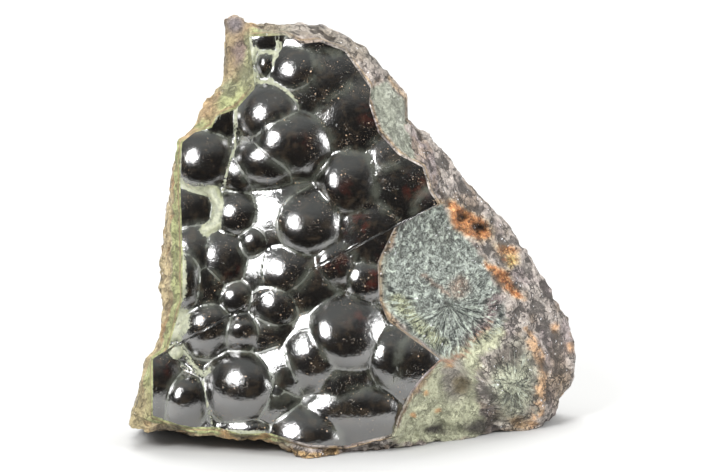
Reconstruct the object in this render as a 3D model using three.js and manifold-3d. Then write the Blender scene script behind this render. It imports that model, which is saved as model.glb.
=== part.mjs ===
// Botryoidal hematite: one natural stone, a crust of black kidney-shaped lumps broken off with
// its matrix. Millimetres, +Z up, resting on z = 0, the lumpy face towards -Y.
//
// The stone is drawn in the frame of its lumpy face: "a" runs to the right, "b" up the face and
// "n" straight out of it. The face leans back by LEAN, so the floor cuts the stone at a slant.
import * as THREE from 'three';
import { mergeVertices } from 'three/addons/utils/BufferGeometryUtils.js';
import Module from 'manifold-3d';

const wasm = await Module();
wasm.setup();
const { Manifold, Mesh: SolidMesh } = wasm;

// ---- driving dimensions -------------------------------------------------------------------
const LEAN = THREE.MathUtils.degToRad(10);   // how far the lumpy face leans back
const HEART = [-10.8, 36.2];                 // a, b of the middle of the face
const CROWN = [0.0030, 0.0012];              // the face falls away by this much per mm squared
const CORE = [-2, 32, -14];                  // a, b, n inside the stone; chips push away from it
const BACK = [-4, 40, -75];                  // the loft runs this far back before the back breaks off
const BACK_FACETS = 11;                      // how finely the broken back is divided
const COLUMN_STEP = 5.2;                     // longest step along the outline between columns
const BAND_ROWS = [2, 4, 3, 9, 2];           // rows of facets between each two rings below
const CHIP_SIZE = [13, 6];                   // width of the large and the small broken chips
const CHIP_DEPTH = [2.4, 0.9];               // how far they stand in or out at most
const CHIP_CRISPNESS = 14;                   // how abruptly one chip gives way to the next
const LUMP_DEPTH = 14;                       // how deep the crust of lumps is rooted
const BALL_STEP = 1.8;                       // mm of radius for each step of a lump's detail
const BALL_DETAIL = 8;                       // the finest detail of a lump
const CREASE = 1.5;                          // height above the valleys at which lumps meet
const GLINT = [0.318, -0.158];               // slopes right and up where a lump mirrors the lamp
const FINEST = 0.15;                         // detail finer than this is left out

// The edge of the shiny crust: a, b and the depth n of the break that starts there.
const CRUST_EDGE = [
  [-21.2, 84.6, -3.0], [-13.8, 85.0, -2.8], [-10.8, 83.2, -2.6], [-6.8, 83.6, -2.6],
  [-1.8, 81.8, -2.6], [3.6, 74.2, -1.9], [3.2, 71.2, -1.2], [5.2, 65.2, 0.2],
  [9.2, 60.8, -1.2], [14.2, 58.2, -2.4], [15.6, 53.2, -1.2], [17.4, 50.6, -2.2],
  [9.2, 47.2, 0.0], [5.8, 40.2, 0.0], [5.2, 38.8, -0.4], [5.4, 31.2, -0.6],
  [7.2, 26.8, -0.8], [17.8, 19.0, -2.4], [14.2, 15.6, -2.2], [11.6, 12.2, -0.8],
  [9.2, 7.2, -0.4], [8.2, 3.8, -1.7], [-1.8, 1.4, -1.7], [-8.8, 1.6, 2.4],
  [-17.2, 4.0, -1.0], [-22.8, 3.8, -0.8], [-27.8, 5.2, -2.0], [-32.8, 5.2, -2.6],
  [-35.8, 5.8, -2.9], [-40.8, 7.6, -3.0], [-40.8, 13.4, -1.3], [-40.8, 19.2, -2.6],
  [-37.8, 20.8, -2.4], [-34.8, 31.2, -1.4], [-34.8, 41.2, -1.6], [-35.2, 53.2, -1.9],
  [-35.2, 59.0, -1.2], [-34.8, 63.2, -2.4], [-32.4, 65.2, -2.4], [-28.8, 66.2, -2.0],
  [-27.8, 68.6, -1.0], [-23.8, 70.0, -1.2], [-20.0, 74.2, -0.6], [-20.6, 80.2, -2.4],
];

// Where the fresh break across the crust ends and the rough matrix begins.
const BREAK_EDGE = [
  [-24.0, 84.8, -5.6], [-20.4, 86.0, -5.2], [-10.8, 85.2, -5.0], [-1.4, 82.6, -5.2],
  [4.2, 78.2, -5.6], [7.4, 74.6, -5.8], [9.6, 71.6, -5.8], [10.0, 67.4, -5.4],
  [11.6, 61.4, -5.6], [14.8, 58.4, -6.4], [16.4, 54.2, -7.2], [17.8, 50.6, -8.0],
  [20.2, 46.8, -9.5], [24.2, 42.2, -12.0], [28.2, 37.2, -15.0], [30.8, 31.2, -18.0],
  [32.2, 26.2, -20.0], [36.2, 22.2, -23.5], [38.4, 17.2, -26.0], [38.8, 11.2, -27.0],
  [37.2, 6.4, -28.0], [30.0, 6.0, -24.0], [23.2, 4.8, -17.8], [17.2, 4.2, -14.0],
  [12.2, 3.4, -9.4], [8.6, 2.9, -5.6], [-1.8, 1.1, -3.4], [-8.8, 0.4, 3.2],
  [-17.2, 3.5, -1.8], [-22.8, 3.4, -1.8], [-27.8, 4.8, -2.9], [-32.8, 4.8, -3.4],
  [-35.8, 5.7, -4.0], [-43.0, 7.0, -5.0], [-42.4, 14.0, -4.6], [-41.0, 19.6, -4.6],
  [-38.8, 21.2, -4.4], [-36.6, 31.2, -4.0], [-37.0, 41.2, -4.4], [-35.9, 53.2, -4.0],
  [-35.3, 59.2, -3.8], [-34.4, 63.2, -4.0], [-32.4, 65.4, -4.0], [-29.4, 69.6, -4.0],
  [-25.6, 73.8, -4.6], [-24.0, 79.4, -5.2],
];

// The outline of the whole stone seen square to its face, with its depth.
const OUTLINE = [
  [-25.8, 84.8, -7.6], [-25.9, 86.6, -7.6], [-25.2, 87.8, -7.5], [-23.6, 88.3, -7.4],
  [-22.2, 87.8, -7.4], [-21.9, 86.9, -7.3], [-20.8, 86.6, -7.3], [-10.8, 86.4, -7.2],
  [-6.8, 86.2, -7.2], [-0.8, 83.2, -7.4], [3.2, 80.8, -7.6],
  [4.8, 78.8, -7.8], [8.2, 75.2, -8.0], [10.6, 71.8, -8.2], [10.8, 67.2, -8.4],
  [12.2, 65.6, -9.6], [15.2, 63.6, -12.0], [18.2, 60.2, -15.0], [24.2, 52.2, -20.0],
  [33.2, 43.2, -27.0], [40.2, 33.2, -32.0], [44.2, 23.2, -35.0], [44.6, 18.2, -35.0],
  [44.2, 15.2, -34.5], [41.2, 11.2, -32.0], [39.6, 7.2, -31.0], [38.2, 5.8, -30.5],
  [35.2, 4.8, -27.0], [29.2, 4.4, -24.5], [26.2, 3.8, -21.6], [23.2, 3.2, -18.2],
  [17.2, 2.6, -14.6], [12.2, 1.7, -9.6], [9.2, 1.7, -8.0], [5.2, 1.2, -6.6],
  [-1.8, 0.7, -4.2], [-3.8, 0.0, -0.2], [-8.8, -0.6, 3.3], [-10.8, 0.2, 1.6],
  [-14.8, 2.2, -1.6], [-18.8, 3.6, -2.6], [-22.8, 3.0, -2.6], [-27.8, 4.4, -3.6],
  [-32.8, 4.4, -4.2], [-35.8, 5.5, -5.0], [-40.8, 4.8, -5.4], [-44.6, 5.6, -6.2],
  [-44.8, 7.2, -6.6], [-43.8, 11.2, -7.0], [-43.2, 13.6, -7.0], [-41.6, 19.6, -6.6],
  [-39.8, 21.2, -6.6], [-38.4, 26.2, -7.0], [-38.4, 31.2, -7.2], [-39.4, 33.6, -8.0],
  [-38.8, 39.2, -8.2], [-37.8, 42.2, -7.8], [-37.2, 47.2, -7.2], [-36.4, 52.8, -6.6],
  [-35.5, 59.2, -6.2], [-34.2, 63.2, -5.8], [-32.4, 65.6, -5.6], [-29.8, 71.2, -6.0],
  [-26.4, 74.2, -7.0], [-25.6, 79.2, -7.5],
];

// Where the flanks would end if the back weren't broken off before that.
const FAR_EDGE = [
  [-22, 80, -40], [-10, 80, -40], [0, 77, -42], [7, 68, -46], [14, 56, -52], [24, 42, -58],
  [33, 28, -62], [37, 16, -64], [33, 6, -66], [12, 4, -68], [-14, 4, -66], [-33, 5, -60],
  [-36, 18, -58], [-33, 36, -54], [-30, 52, -50], [-26, 68, -45],
];

// Flat breaks across the back: a point a, b, n on each and the direction it faces.
const BACK_BREAKS = [
  [[-5, 36, -42], [0.06, 0.42, -0.91]], [[-8, 70, -28], [-0.10, 0.66, -0.74]],
  [[27, 26, -50], [0.55, 0.30, -0.78]], [[-30, 26, -37], [-0.62, 0.18, -0.76]],
  [[0, 12, -53], [0.05, -0.25, -0.97]], [[43, 14, -48], [0.91, -0.10, -0.40]],
  [[-42, 14, -30], [-0.95, -0.05, -0.30]],
];

// The lumps of the crust: the middle a, b of each, the reach at which it meets its neighbours and
// the radius of its curve. Some are wider than high. A lump leans so that it glints at one place,
// or by a given slope to the right and up the face.
const LUMPS = [
  [-17.8, 83, 2.6, 6, { wide: 1.2, glint: [-20, 84.6] }],
  [-8.2, 82, 2.6, 3.8, { wide: 2.1, glint: [-12.2, 83] }],
  [-17.6, 78, 2.4, 3.2, { wide: 0.7, glint: [-18.2, 78.8] }],
  [-12, 76.4, 5.4, 7.4, { glint: [-13.4, 77.4] }],
  [-3.6, 74.6, 6.2, 17, { wide: 1.15, lean: [-0.25, -0.1] }],
  [0.4, 65.2, 6, 18, { lean: [-0.2, 0.1] }], [-16.8, 67.8, 6.6, 7.6, { glint: [-19, 68.8] }],
  [-11.2, 61.6, 7.2, 8.2, { wide: 1.15, glint: [-16.4, 63.4] }],
  [-17.6, 58.4, 5.4, 5.8, { wide: 1.3, glint: [-19.2, 60.2] }],
  [-30.2, 59.4, 6.2, 7.6, { glint: [-32.6, 60] }], [-26.2, 66.6, 3.2, 8, { lean: [-0.2, 0.1] }],
  [-23.2, 56.4, 3.6, 6, { wide: 0.8, glint: [-23.8, 57.6] }],
  [-23.8, 48.8, 4, 6, { glint: [-25, 49] }], [-18.2, 48.8, 4.2, 18, { glint: [-18.2, 49] }],
  [-8.6, 48.2, 6.8, 9, { glint: [-12.2, 46.6] }], [1.8, 54.8, 5.8, 9.4, { lean: [-0.5, -0.1] }],
  [11.6, 53.4, 5, 18, { lean: [-0.3, 0] }], [8.2, 59, 3.6, 12, { lean: [-0.2, -0.1] }],
  [6.4, 44.2, 5.2, 22, { wide: 0.9, lean: [-0.3, 0] }], [0.8, 46, 2.4, 8, { lean: [-0.3, 0] }],
  [14, 50.4, 2.6, 6, { wide: 1.3 }], [-2.2, 38.6, 4.2, 6.6, { lean: [-0.45, 0] }],
  [-13.4, 39, 5.8, 9, { glint: [-15.8, 37.8] }], [-8.4, 34.2, 6, 12, { lean: [-0.2, 0] }],
  [-16.2, 30.2, 5, 6.6, { glint: [-17.2, 31.2] }], [-22.2, 23.4, 3.4, 4.6, { glint: [-23.4, 26] }],
  [-9.2, 27.6, 5.2, 16, { glint: [-11, 25.6] }], [-0.2, 26, 7.4, 10, { glint: [-6, 25] }],
  [-9, 19.8, 7, 9.6, { wide: 0.9, glint: [-10.4, 21.8] }], [-0.6, 14.6, 5, 10, { lean: [-0.3, 0] }],
  [-0.8, 7.2, 5, 8, { wide: 1.6, glint: [-7, 10.4] }],
  [-10.2, 4.8, 6, 7.6, { wide: 1.15, glint: [-12.6, 4.8] }],
  [-23.8, 13.4, 6.8, 8.6, { glint: [-23.8, 15.6] }],
  [-32.4, 10.2, 4.4, 6.8, { wide: 0.85, glint: [-35.2, 12.6] }],
  [-37.8, 14.4, 6, 10, { wide: 0.8, lean: [-0.4, 0.1] }],
  [-31.4, 28.8, 3.8, 14, { lean: [0, 0.5] }], [-28.6, 24, 5, 7, { lean: [-0.1, 0.4] }],
  [-32.8, 35.6, 7, 8.4, { wide: 0.6, lean: [-0.4, 0] }],
  [-23.8, 40.8, 4, 10, { lean: [-0.3, -0.2] }],
  [-29.6, 37.6, 6, 14, { wide: 0.8, lean: [-0.4, 0.1] }], [-23.6, 31.6, 3.2, 4.6],
  [-18.8, 42, 2.8, 5, { lean: [-0.2, 0.2] }], [-19.4, 38.4, 3.6, 14, { glint: [-19.4, 38.6] }],
  [-31.8, 48, 3.8, 12, { lean: [-0.2, 0.1] }], [-16.8, 22, 2.6, 12, { lean: [0.1, 0.4] }],
  [-17.2, 18.8, 3.2, 12, { glint: [-16.4, 19.6] }], [-16.2, 16, 2.2, 3.5], [-15.6, 12.4, 2.4, 3.5],
  [-15.6, 8.2, 3.2, 8, { lean: [0, 0.4] }],
  [-22.4, 5.4, 1.8, 2.4, { wide: 2.2, glint: [-23.2, 5.8] }],
  [10.6, 19.6, 4.6, 9, { lean: [-0.5, 0] }], [14.6, 18.8, 3.2, 7, { wide: 1.2, lean: [-0.3, 0] }],
  [10, 14, 4.2, 12, { lean: [0, 0.5] }], [3.4, 34.8, 3.4, 6, { lean: [-0.3, 0.1] }],
];

// Weathered-out pits in the matrix: a, b, radius, how deep they go.
const PITS = [
  [21.6, 47.4, 2.2, 1.2], [25.0, 45.4, 1.5, 0.9], [30.4, 40.0, 2.8, 1.2], [31.4, 34.6, 3.6, 1.4],
];

// Low swellings of the matrix: a, b, radius, height.
const SWELLINGS = [[32.2, 14.2, 7.5, 1.6], [23.0, 8.0, 6.0, 0.8], [36.5, 29.0, 6.0, 0.9]];

// ---- small helpers ------------------------------------------------------------------------
const mix = (p, q, t) => p + (q - p) * t;
const fract = (v) => v - Math.floor(v);
const random = (i, j, k) => fract(Math.sin(i * 127.1 + j * 311.7 + k * 74.7) * 43758.5453);

// The valleys between the lumps lie on this shallow crown.
const valley = (a, b) => -CROWN[0] * (a - HEART[0]) ** 2 - CROWN[1] * (b - HEART[1]) ** 2;

// A point of the face frame in the stone's own frame.
function place(a, b, n) {
  const [s, c] = [Math.sin(LEAN), Math.cos(LEAN)];
  return new THREE.Vector3(a, b * s - n * c, b * c + n * s);
}

// Broken chips: space is split into cells, each a flat chip with its own height and tilt. Near
// the border of two cells the heights run together. The result lies within -1 and 1.
function chips(p, size, seed) {
  const q = p.map((v) => v / size);
  const base = q.map(Math.floor);
  let [total, weight] = [0, 0];
  for (let x = -1; x <= 1; x++) for (let y = -1; y <= 1; y++) for (let z = -1; z <= 1; z++) {
    const cell = [base[0] + x, base[1] + y, base[2] + z];
    const r = [0, 1, 2, 3].map((k) => random(cell[0] + 19 * k + seed, cell[1] - 7 * k, cell[2]));
    const away = cell.map((v, k) => q[k] - v - r[k]);
    const slope = away[0] * (r[1] - 0.5) + away[1] * (r[2] - 0.5) + away[2] * (r[0] - 0.5);
    const share = Math.exp(-CHIP_CRISPNESS * away.reduce((sum, v) => sum + v * v, 0));
    total += share * THREE.MathUtils.clamp(1.3 * (r[3] - 0.5) + slope, -1, 1);
    weight += share;
  }
  return total / weight;
}

// Where a ray from the middle of the face, at an angle, crosses a ring: a, b and n there.
function crossing(ring, angle) {
  const [dx, dy] = [Math.cos(angle), Math.sin(angle)];
  let best = null;
  ring.forEach((p, i) => {
    const q = ring[(i + 1) % ring.length];
    const [px, py] = [p[0] - HEART[0], p[1] - HEART[1]];
    const [ex, ey] = [q[0] - p[0], q[1] - p[1]];
    const turn = dx * ey - dy * ex;
    if (Math.abs(turn) < 1e-9) return;
    const reach = (px * ey - py * ex) / turn;
    const along = (px * dy - py * dx) / turn;
    if (reach <= 0 || along < -1e-9 || along > 1 + 1e-9) return;
    if (!best || reach > best.reach) best = { reach, n: mix(p[2], q[2], along) };
  });
  return [HEART[0] + dx * best.reach, HEART[1] + dy * best.reach, best.n];
}

// The angles of the columns: one through every corner of the outline and more on long edges.
function columnAngles() {
  const angles = [];
  OUTLINE.forEach((p, i) => {
    const q = OUTLINE[(i + 1) % OUTLINE.length];
    const steps = Math.ceil(Math.hypot(q[0] - p[0], q[1] - p[1]) / COLUMN_STEP);
    for (let k = 0; k < steps; k++) {
      const [a, b] = [mix(p[0], q[0], k / steps), mix(p[1], q[1], k / steps)];
      angles.push(Math.atan2(b - HEART[1], a - HEART[0]));
    }
  });
  return angles.sort((p, q) => p - q);
}

// A point moved in or out by the chips around it; rough is 1 where the matrix is wildest.
function chipped(point, rough) {
  const lift = CHIP_DEPTH[0] * rough * chips(point, CHIP_SIZE[0], 3)
    + CHIP_DEPTH[1] * Math.min(1, 2.5 * rough) * (0.35 + 0.65 * rough) * chips(point, CHIP_SIZE[1], 11);
  const reach = point.map((v, k) => v - CORE[k]);
  const length = Math.hypot(...reach);
  return reach.map((v, k) => CORE[k] + v * (1 + lift / length));
}

// One point of the loft: band 0 is the face, 1 the break across the crust, 2 the rough rim of
// matrix, 3 the flanks and 4 the end behind them; t runs from 0 to 1 through the band.
function loftPoint(angle, band, t) {
  const crust = crossing(CRUST_EDGE, angle);
  if (band === 0) {
    const [a, b] = [mix(HEART[0], crust[0], t), mix(HEART[1], crust[1], t)];
    return [a, b, valley(a, b) + (crust[2] - valley(crust[0], crust[1])) * t ** 6];
  }
  const stop = crossing(BREAK_EDGE, angle);
  const outline = crossing(OUTLINE, angle);
  const far = crossing(FAR_EDGE, angle);
  if (band === 4) return far.map((v, k) => mix(v, BACK[k], t));
  if (band === 3) {
    const point = [mix(outline[0], far[0], t * t), mix(outline[1], far[1], t * t),
      mix(outline[2], far[2], t)];
    return chipped(point, mix(0.15, 1, Math.min(1, 3 * t)));
  }
  const [from, to] = band === 1 ? [crust, stop] : [stop, outline];
  const point = from.map((v, k) => mix(v, to[k], t));
  for (const [a, b, radius, height] of SWELLINGS) {
    const d = Math.hypot(point[0] - a, point[1] - b) / radius;
    if (d < 1) point[2] += height * (1 - d * d) ** 2;
  }
  return chipped(point, band === 1 ? 0.35 * Math.min(1, 4 * t) : mix(0.35, 0.15, t));
}

// Where a ray from the core leaves the stone through its broken back.
function backPoint(direction) {
  let reach = 95;
  for (const [through, facing] of BACK_BREAKS) {
    const room = facing.reduce((sum, v, k) => sum + v * (through[k] - CORE[k]), 0);
    const pace = facing.reduce((sum, v, k) => sum + v * direction[k], 0);
    if (pace > 1e-6) reach = Math.min(reach, room / pace);
  }
  return chipped(direction.map((v, k) => CORE[k] + v * reach), 1);
}

// ---- solids -------------------------------------------------------------------------------
// A closed three.js geometry as a solid that can be joined and cut.
function solid(geometry) {
  const bare = geometry.clone();
  bare.deleteAttribute('normal');
  bare.deleteAttribute('uv');
  const merged = mergeVertices(bare, 1e-4);
  return new Manifold(new SolidMesh({
    numProp: 3,
    vertProperties: new Float32Array(merged.attributes.position.array),
    triVerts: new Uint32Array(merged.index.array),
  }));
}

// The face, the broken rim and the flanks: a sphere whose rows are moved onto the bands.
function loft() {
  const angles = columnAngles();
  const rows = BAND_ROWS.reduce((sum, count) => sum + count, 0);
  const sphere = new THREE.SphereGeometry(1, angles.length, rows);
  const position = sphere.attributes.position;
  let [band, start] = [0, 0];
  for (let row = 0; row <= rows; row++) {
    while (row > start + BAND_ROWS[band]) start += BAND_ROWS[band++];
    const t = (row - start) / BAND_ROWS[band];
    for (let column = 0; column <= angles.length; column++) {
      const p = place(...loftPoint(angles[column % angles.length], band, t));
      position.setXYZ(row * (angles.length + 1) + column, p.x, p.y, p.z);
    }
  }
  return solid(sphere);
}

// The broken back: an evenly divided ball whose points are moved onto the breaks and chipped.
function back() {
  const ball = new THREE.IcosahedronGeometry(1, BACK_FACETS).rotateX(0.4);
  const position = ball.attributes.position;
  for (let i = 0; i < position.count; i++) {
    const direction = [position.getX(i), position.getY(i), position.getZ(i)];
    const p = place(...backPoint(direction));
    position.setXYZ(i, p.x, p.y, p.z);
  }
  return solid(ball);
}

// How a lump slopes to the right and up the face. A glint needs the slope GLINT: the ball itself
// falls by offset / sqrt(radius^2 - offset^2) there, and the lean makes up the rest.
function leaning(a, b, radius, wide, glint) {
  const [da, db] = [glint[0] - a, glint[1] - b];
  const fall = Math.sqrt(radius ** 2 - (da / wide) ** 2 - db ** 2);
  return [GLINT[0] + da / wide ** 2 / fall, GLINT[1] + db / fall];
}

// One lump. The face lies in the ball's x and z, and its top is at -y. The lean slides each point
// in or out by its place across the face, and leaves the middle where it is.
function lump([a, b, reach, radius, { wide = 1, glint = null, lean = [0, 0] } = {}], index) {
  const detail = Math.min(BALL_DETAIL, Math.ceil(radius / BALL_STEP));
  const ball = new THREE.IcosahedronGeometry(1, detail);
  ball.rotateZ(random(index, 1, 2) * 6).rotateX(random(index, 3, 4) * 6);
  ball.scale(radius * wide, radius, radius);
  const [right, up] = glint ? leaning(a, b, radius, wide, glint) : lean;
  ball.applyMatrix4(new THREE.Matrix4().makeShear(-right, 0, 0, 0, 0, -up)).rotateX(-LEAN);
  const middle = place(a, b, valley(a, b) + CREASE - Math.sqrt(radius ** 2 - reach ** 2));
  return solid(ball.translate(middle.x, middle.y, middle.z));
}

// The crust of lumps, broken off along the crust's edge.
function crust() {
  const edge = new THREE.Shape(CRUST_EDGE.map(([a, b]) => new THREE.Vector2(a, b)));
  const prism = new THREE.ExtrudeGeometry(edge, { depth: 2 * LUMP_DEPTH, bevelEnabled: false });
  prism.translate(0, 0, -LUMP_DEPTH).rotateX(Math.PI / 2 - LEAN);
  return Manifold.union(LUMPS.map(lump)).intersect(solid(prism));
}

// A pit: a lopsided ball sunk into the matrix at a place of the face.
function pit(stone, [a, b, radius, depth], index) {
  const ray = new THREE.Raycaster(place(a, b, 60), place(0, 0, -1));
  const hit = ray.intersectObject(new THREE.Mesh(surface(stone)))[0];
  const ball = new THREE.IcosahedronGeometry(radius, 1).rotateX(index + 1);
  ball.scale(1.15 - 0.4 * random(index, 5, 0), 1, 0.75 + 0.4 * random(index, 0, 5));
  const middle = hit.point.add(place(0, 0, radius - depth));
  return solid(ball.translate(middle.x, middle.y, middle.z));
}

// A solid back as a three.js geometry.
function surface(stone) {
  const mesh = stone.getMesh();
  const geometry = new THREE.BufferGeometry();
  geometry.setAttribute('position', new THREE.BufferAttribute(mesh.vertProperties, 3));
  geometry.setIndex(new THREE.BufferAttribute(mesh.triVerts, 1));
  return geometry;
}

// ---- the stone ----------------------------------------------------------------------------
let stone = loft().intersect(back()).add(crust());
stone = stone.subtract(Manifold.union(PITS.map((entry, index) => pit(stone, entry, index))));
const above = new THREE.BoxGeometry(300, 300, 200).translate(0, 0, 100);
stone = stone.asOriginal().simplify(FINEST).intersect(solid(above)).asOriginal().simplify(0.01);

const geometry = surface(stone);
geometry.computeBoundingBox();
const seat = geometry.boundingBox.getCenter(new THREE.Vector3());
geometry.translate(-seat.x, -seat.y, 0);
geometry.computeVertexNormals();

const hematite = new THREE.MeshStandardMaterial({ color: 0x1f1c1a, roughness: 0.18, metalness: 0 });
const specimen = new THREE.Group();
const mesh = new THREE.Mesh(geometry, hematite);
mesh.name = 'stone';
specimen.add(mesh);

export default specimen;
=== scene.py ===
"""Botryoidal hematite: one natural stone, a crust of black lumps broken off with its matrix.

The stone is drawn in the frame of its lumpy face. "a" runs to the right and "b" up the face, and
"n" comes straight out of it, all in millimetres. The face leans back, and the stone stands on
z = 0. Every surface is worked out as whole numpy arrays on a grid and then placed in metres.
"""

from __future__ import annotations

import logging
import math
from dataclasses import dataclass, replace
from enum import Enum

import bpy
import numpy as np
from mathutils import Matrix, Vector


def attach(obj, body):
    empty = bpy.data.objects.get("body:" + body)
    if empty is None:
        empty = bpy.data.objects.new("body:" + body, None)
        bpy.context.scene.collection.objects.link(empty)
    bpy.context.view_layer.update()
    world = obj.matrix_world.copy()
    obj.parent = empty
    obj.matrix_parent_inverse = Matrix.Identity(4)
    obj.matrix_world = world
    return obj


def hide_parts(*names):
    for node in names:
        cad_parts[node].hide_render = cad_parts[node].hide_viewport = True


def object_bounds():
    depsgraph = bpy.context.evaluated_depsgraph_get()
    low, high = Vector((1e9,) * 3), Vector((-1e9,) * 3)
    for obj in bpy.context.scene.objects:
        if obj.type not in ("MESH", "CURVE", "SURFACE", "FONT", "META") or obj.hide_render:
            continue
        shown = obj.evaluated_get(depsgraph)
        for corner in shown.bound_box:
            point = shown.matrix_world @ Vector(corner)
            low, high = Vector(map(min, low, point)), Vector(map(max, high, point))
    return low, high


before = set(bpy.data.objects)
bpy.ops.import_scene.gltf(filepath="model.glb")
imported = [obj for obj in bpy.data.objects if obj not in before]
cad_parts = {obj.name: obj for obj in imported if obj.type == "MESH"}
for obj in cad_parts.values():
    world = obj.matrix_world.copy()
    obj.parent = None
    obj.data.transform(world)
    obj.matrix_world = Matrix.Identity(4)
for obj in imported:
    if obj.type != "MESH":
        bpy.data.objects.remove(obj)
cad_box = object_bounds()

logging.basicConfig(level=logging.INFO, format="%(message)s")
log = logging.getLogger("hematite")

Array = np.ndarray
Colour = tuple[float, float, float]
Spot = tuple[float, float]

MM = 0.001
SKIRT = 0.86              # share of a lump's radius past which its side goes straight on down
CREASE = 1.5              # mm that a lump stands above the valley where it meets its neighbours
GLINT = (0.318, -0.158)   # slope of a lump, right and up the face, where it mirrors the key light
LIT = 0.82                # how bright the studio's light shows a white matt surface
FAR_BELOW = -50.0         # height of a lump in mm where it has none, under everything else
WIDEST_GAP = 3.0          # distances to the nearest crease are cut off here, in mm
FLANK_BAND = 2.25         # the painted layers stop at this band, just past the outline
NODE = "stone"
BODY = "root"


def placed(name: str, data: bpy.types.ID) -> bpy.types.Object:
    """Make an object of some data and put it in the scene.

    Args:
        name: what the object is called.
        data: its mesh, light or camera.

    Returns:
        The object.
    """
    made = bpy.data.objects.new(name, data)
    bpy.context.collection.objects.link(made)
    return made


def srgb(red: int, green: int, blue: int) -> Colour:
    """Turn screen values from 0 to 255 into the linear colour that shaders use."""
    parts = [value / 255 for value in (red, green, blue)]
    return tuple(p / 12.92 if p <= 0.04045 else ((p + 0.055) / 1.055) ** 2.4 for p in parts)


def matt(red: int, green: int, blue: int) -> Colour:
    """Colour of a matt surface that shows as these screen values in the studio's light."""
    return tuple(value / LIT for value in srgb(red, green, blue))


# ---- noise ---------------------------------------------------------------------------------


def hashed(x: Array, y: Array, z: Array) -> Array:
    """Return a random number from 0 to 1 for each lattice corner.

    The formula is the fraction of a large multiple of the sine of a weighted sum.
    """
    value = np.sin(x * 127.1 + y * 311.7 + z * 74.7) * 43758.5453
    return value - np.floor(value)


def ease(t: Array) -> Array:
    """Run from 0 to 1 with no kink at either end: 6t^5 - 15t^4 + 10t^3."""
    t = np.clip(t, 0.0, 1.0)
    return t * t * t * (t * (6.0 * t - 15.0) + 10.0)


def waves(points: Array, size: float, seed: float) -> Array:
    """Smooth random waves between -1 and 1.

    Each cube of the given size has a random number at its corners, and a point blends the eight
    of its own cube with eased weights.

    Args:
        points: an (N, 3) array of places.
        size: the width of one cube.
        seed: shifts the lattice, so that two calls differ.

    Returns:
        N values.
    """
    q = points / size + seed
    base = np.floor(q)
    w = ease(q - base)
    total = np.zeros(len(points))
    for corner in range(8):
        step = np.array([corner & 1, corner >> 1 & 1, corner >> 2 & 1], float)
        share = np.prod(np.where(step > 0, w, 1.0 - w), axis=1)
        total += share * hashed(*(base + step).T)
    return total * 2.0 - 1.0


def rough_waves(points: Array, size: float, octaves: int, seed: float) -> Array:
    """Add waves of half the size and half the height, as often as octaves says.

    Args:
        points: an (N, 3) array of places.
        size: the width of the largest waves.
        octaves: how many sizes are added.
        seed: shifts the lattices.

    Returns:
        N values.
    """
    total = np.zeros(len(points))
    for k in range(octaves):
        total += waves(points, size / 2**k, seed + 3.7 * k) / 2**k
    return total


def chips(points: Array, size: float, seed: float, crispness: float) -> Array:
    """Heights of broken chips, between -1 and 1.

    Space is split into cells, each a flat chip with its own height and tilt. A point takes the
    mean of the 27 chips around it, weighted by exp(-crispness * squared distance).

    Args:
        points: an (N, 3) array of places.
        size: the width of one cell.
        seed: shifts the random numbers.
        crispness: how abruptly one chip gives way to the next.

    Returns:
        N heights.
    """
    q = points / size
    base = np.floor(q)
    total = np.zeros(len(points))
    weight = np.zeros(len(points))
    for step in np.ndindex(3, 3, 3):
        cell = base + np.array(step, float) - 1.0
        x, y, z = cell.T
        r = [hashed(x + 19 * k + seed, y - 7 * k, z) for k in range(4)]
        away = q - cell - np.stack(r[:3], axis=1)
        slope = away[:, 0] * (r[1] - 0.5) + away[:, 1] * (r[2] - 0.5) + away[:, 2] * (r[0] - 0.5)
        share = np.exp(-crispness * np.sum(away * away, axis=1))
        total += share * np.clip(1.3 * (r[3] - 0.5) + slope, -1.0, 1.0)
        weight += share
    return total / weight


# ---- the stone's sizes ---------------------------------------------------------------------


@dataclass(frozen=True)
class Ring:
    """A closed line round the face: a, b and the depth n of each corner."""

    corners: tuple[tuple[float, float, float], ...]

    def crossing(self, heart: Array, angles: Array) -> Array:
        """Find where rays from the heart cross the ring.

        Args:
            heart: a, b of the middle of the face.
            angles: one angle for each ray.

        Returns:
            An (N, 3) array of a, b and n.
        """
        start = np.array(self.corners)
        end = np.roll(start, -1, axis=0)
        p, edge = start[:, :2] - heart, end[:, :2] - start[:, :2]
        dx, dy = np.cos(angles), np.sin(angles)
        turn = dx[:, None] * edge[None, :, 1] - dy[:, None] * edge[None, :, 0]
        turn = np.where(np.abs(turn) < 1e-9, 1e-9, turn)
        reach = (p[:, 0] * edge[:, 1] - p[:, 1] * edge[:, 0])[None] / turn
        along = (p[None, :, 0] * dy[:, None] - p[None, :, 1] * dx[:, None]) / turn
        reach = np.where((reach > 0) & (along > -1e-6) & (along < 1 + 1e-6), reach, -1.0)
        best = np.argmax(reach, axis=1)
        rows = np.arange(len(angles))
        depth = start[best, 2] + (end[best, 2] - start[best, 2]) * along[rows, best]
        reach = reach[rows, best]
        return np.stack([heart[0] + dx * reach, heart[1] + dy * reach, depth], axis=1)


def cap(share: Array | float) -> Array | float:
    """How far a ball has fallen at a share of its radius: 1 - sqrt(1 - share^2).

    Past SKIRT it goes straight on down at the slope that it has there.

    Args:
        share: distances from the middle of the ball, as a share of its radius.

    Returns:
        The falls, as a share of the radius.
    """
    near = np.minimum(share, SKIRT)
    slope = SKIRT / math.sqrt(1.0 - SKIRT**2)
    return 1.0 - np.sqrt(1.0 - near * near) + (share - near) * slope


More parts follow.
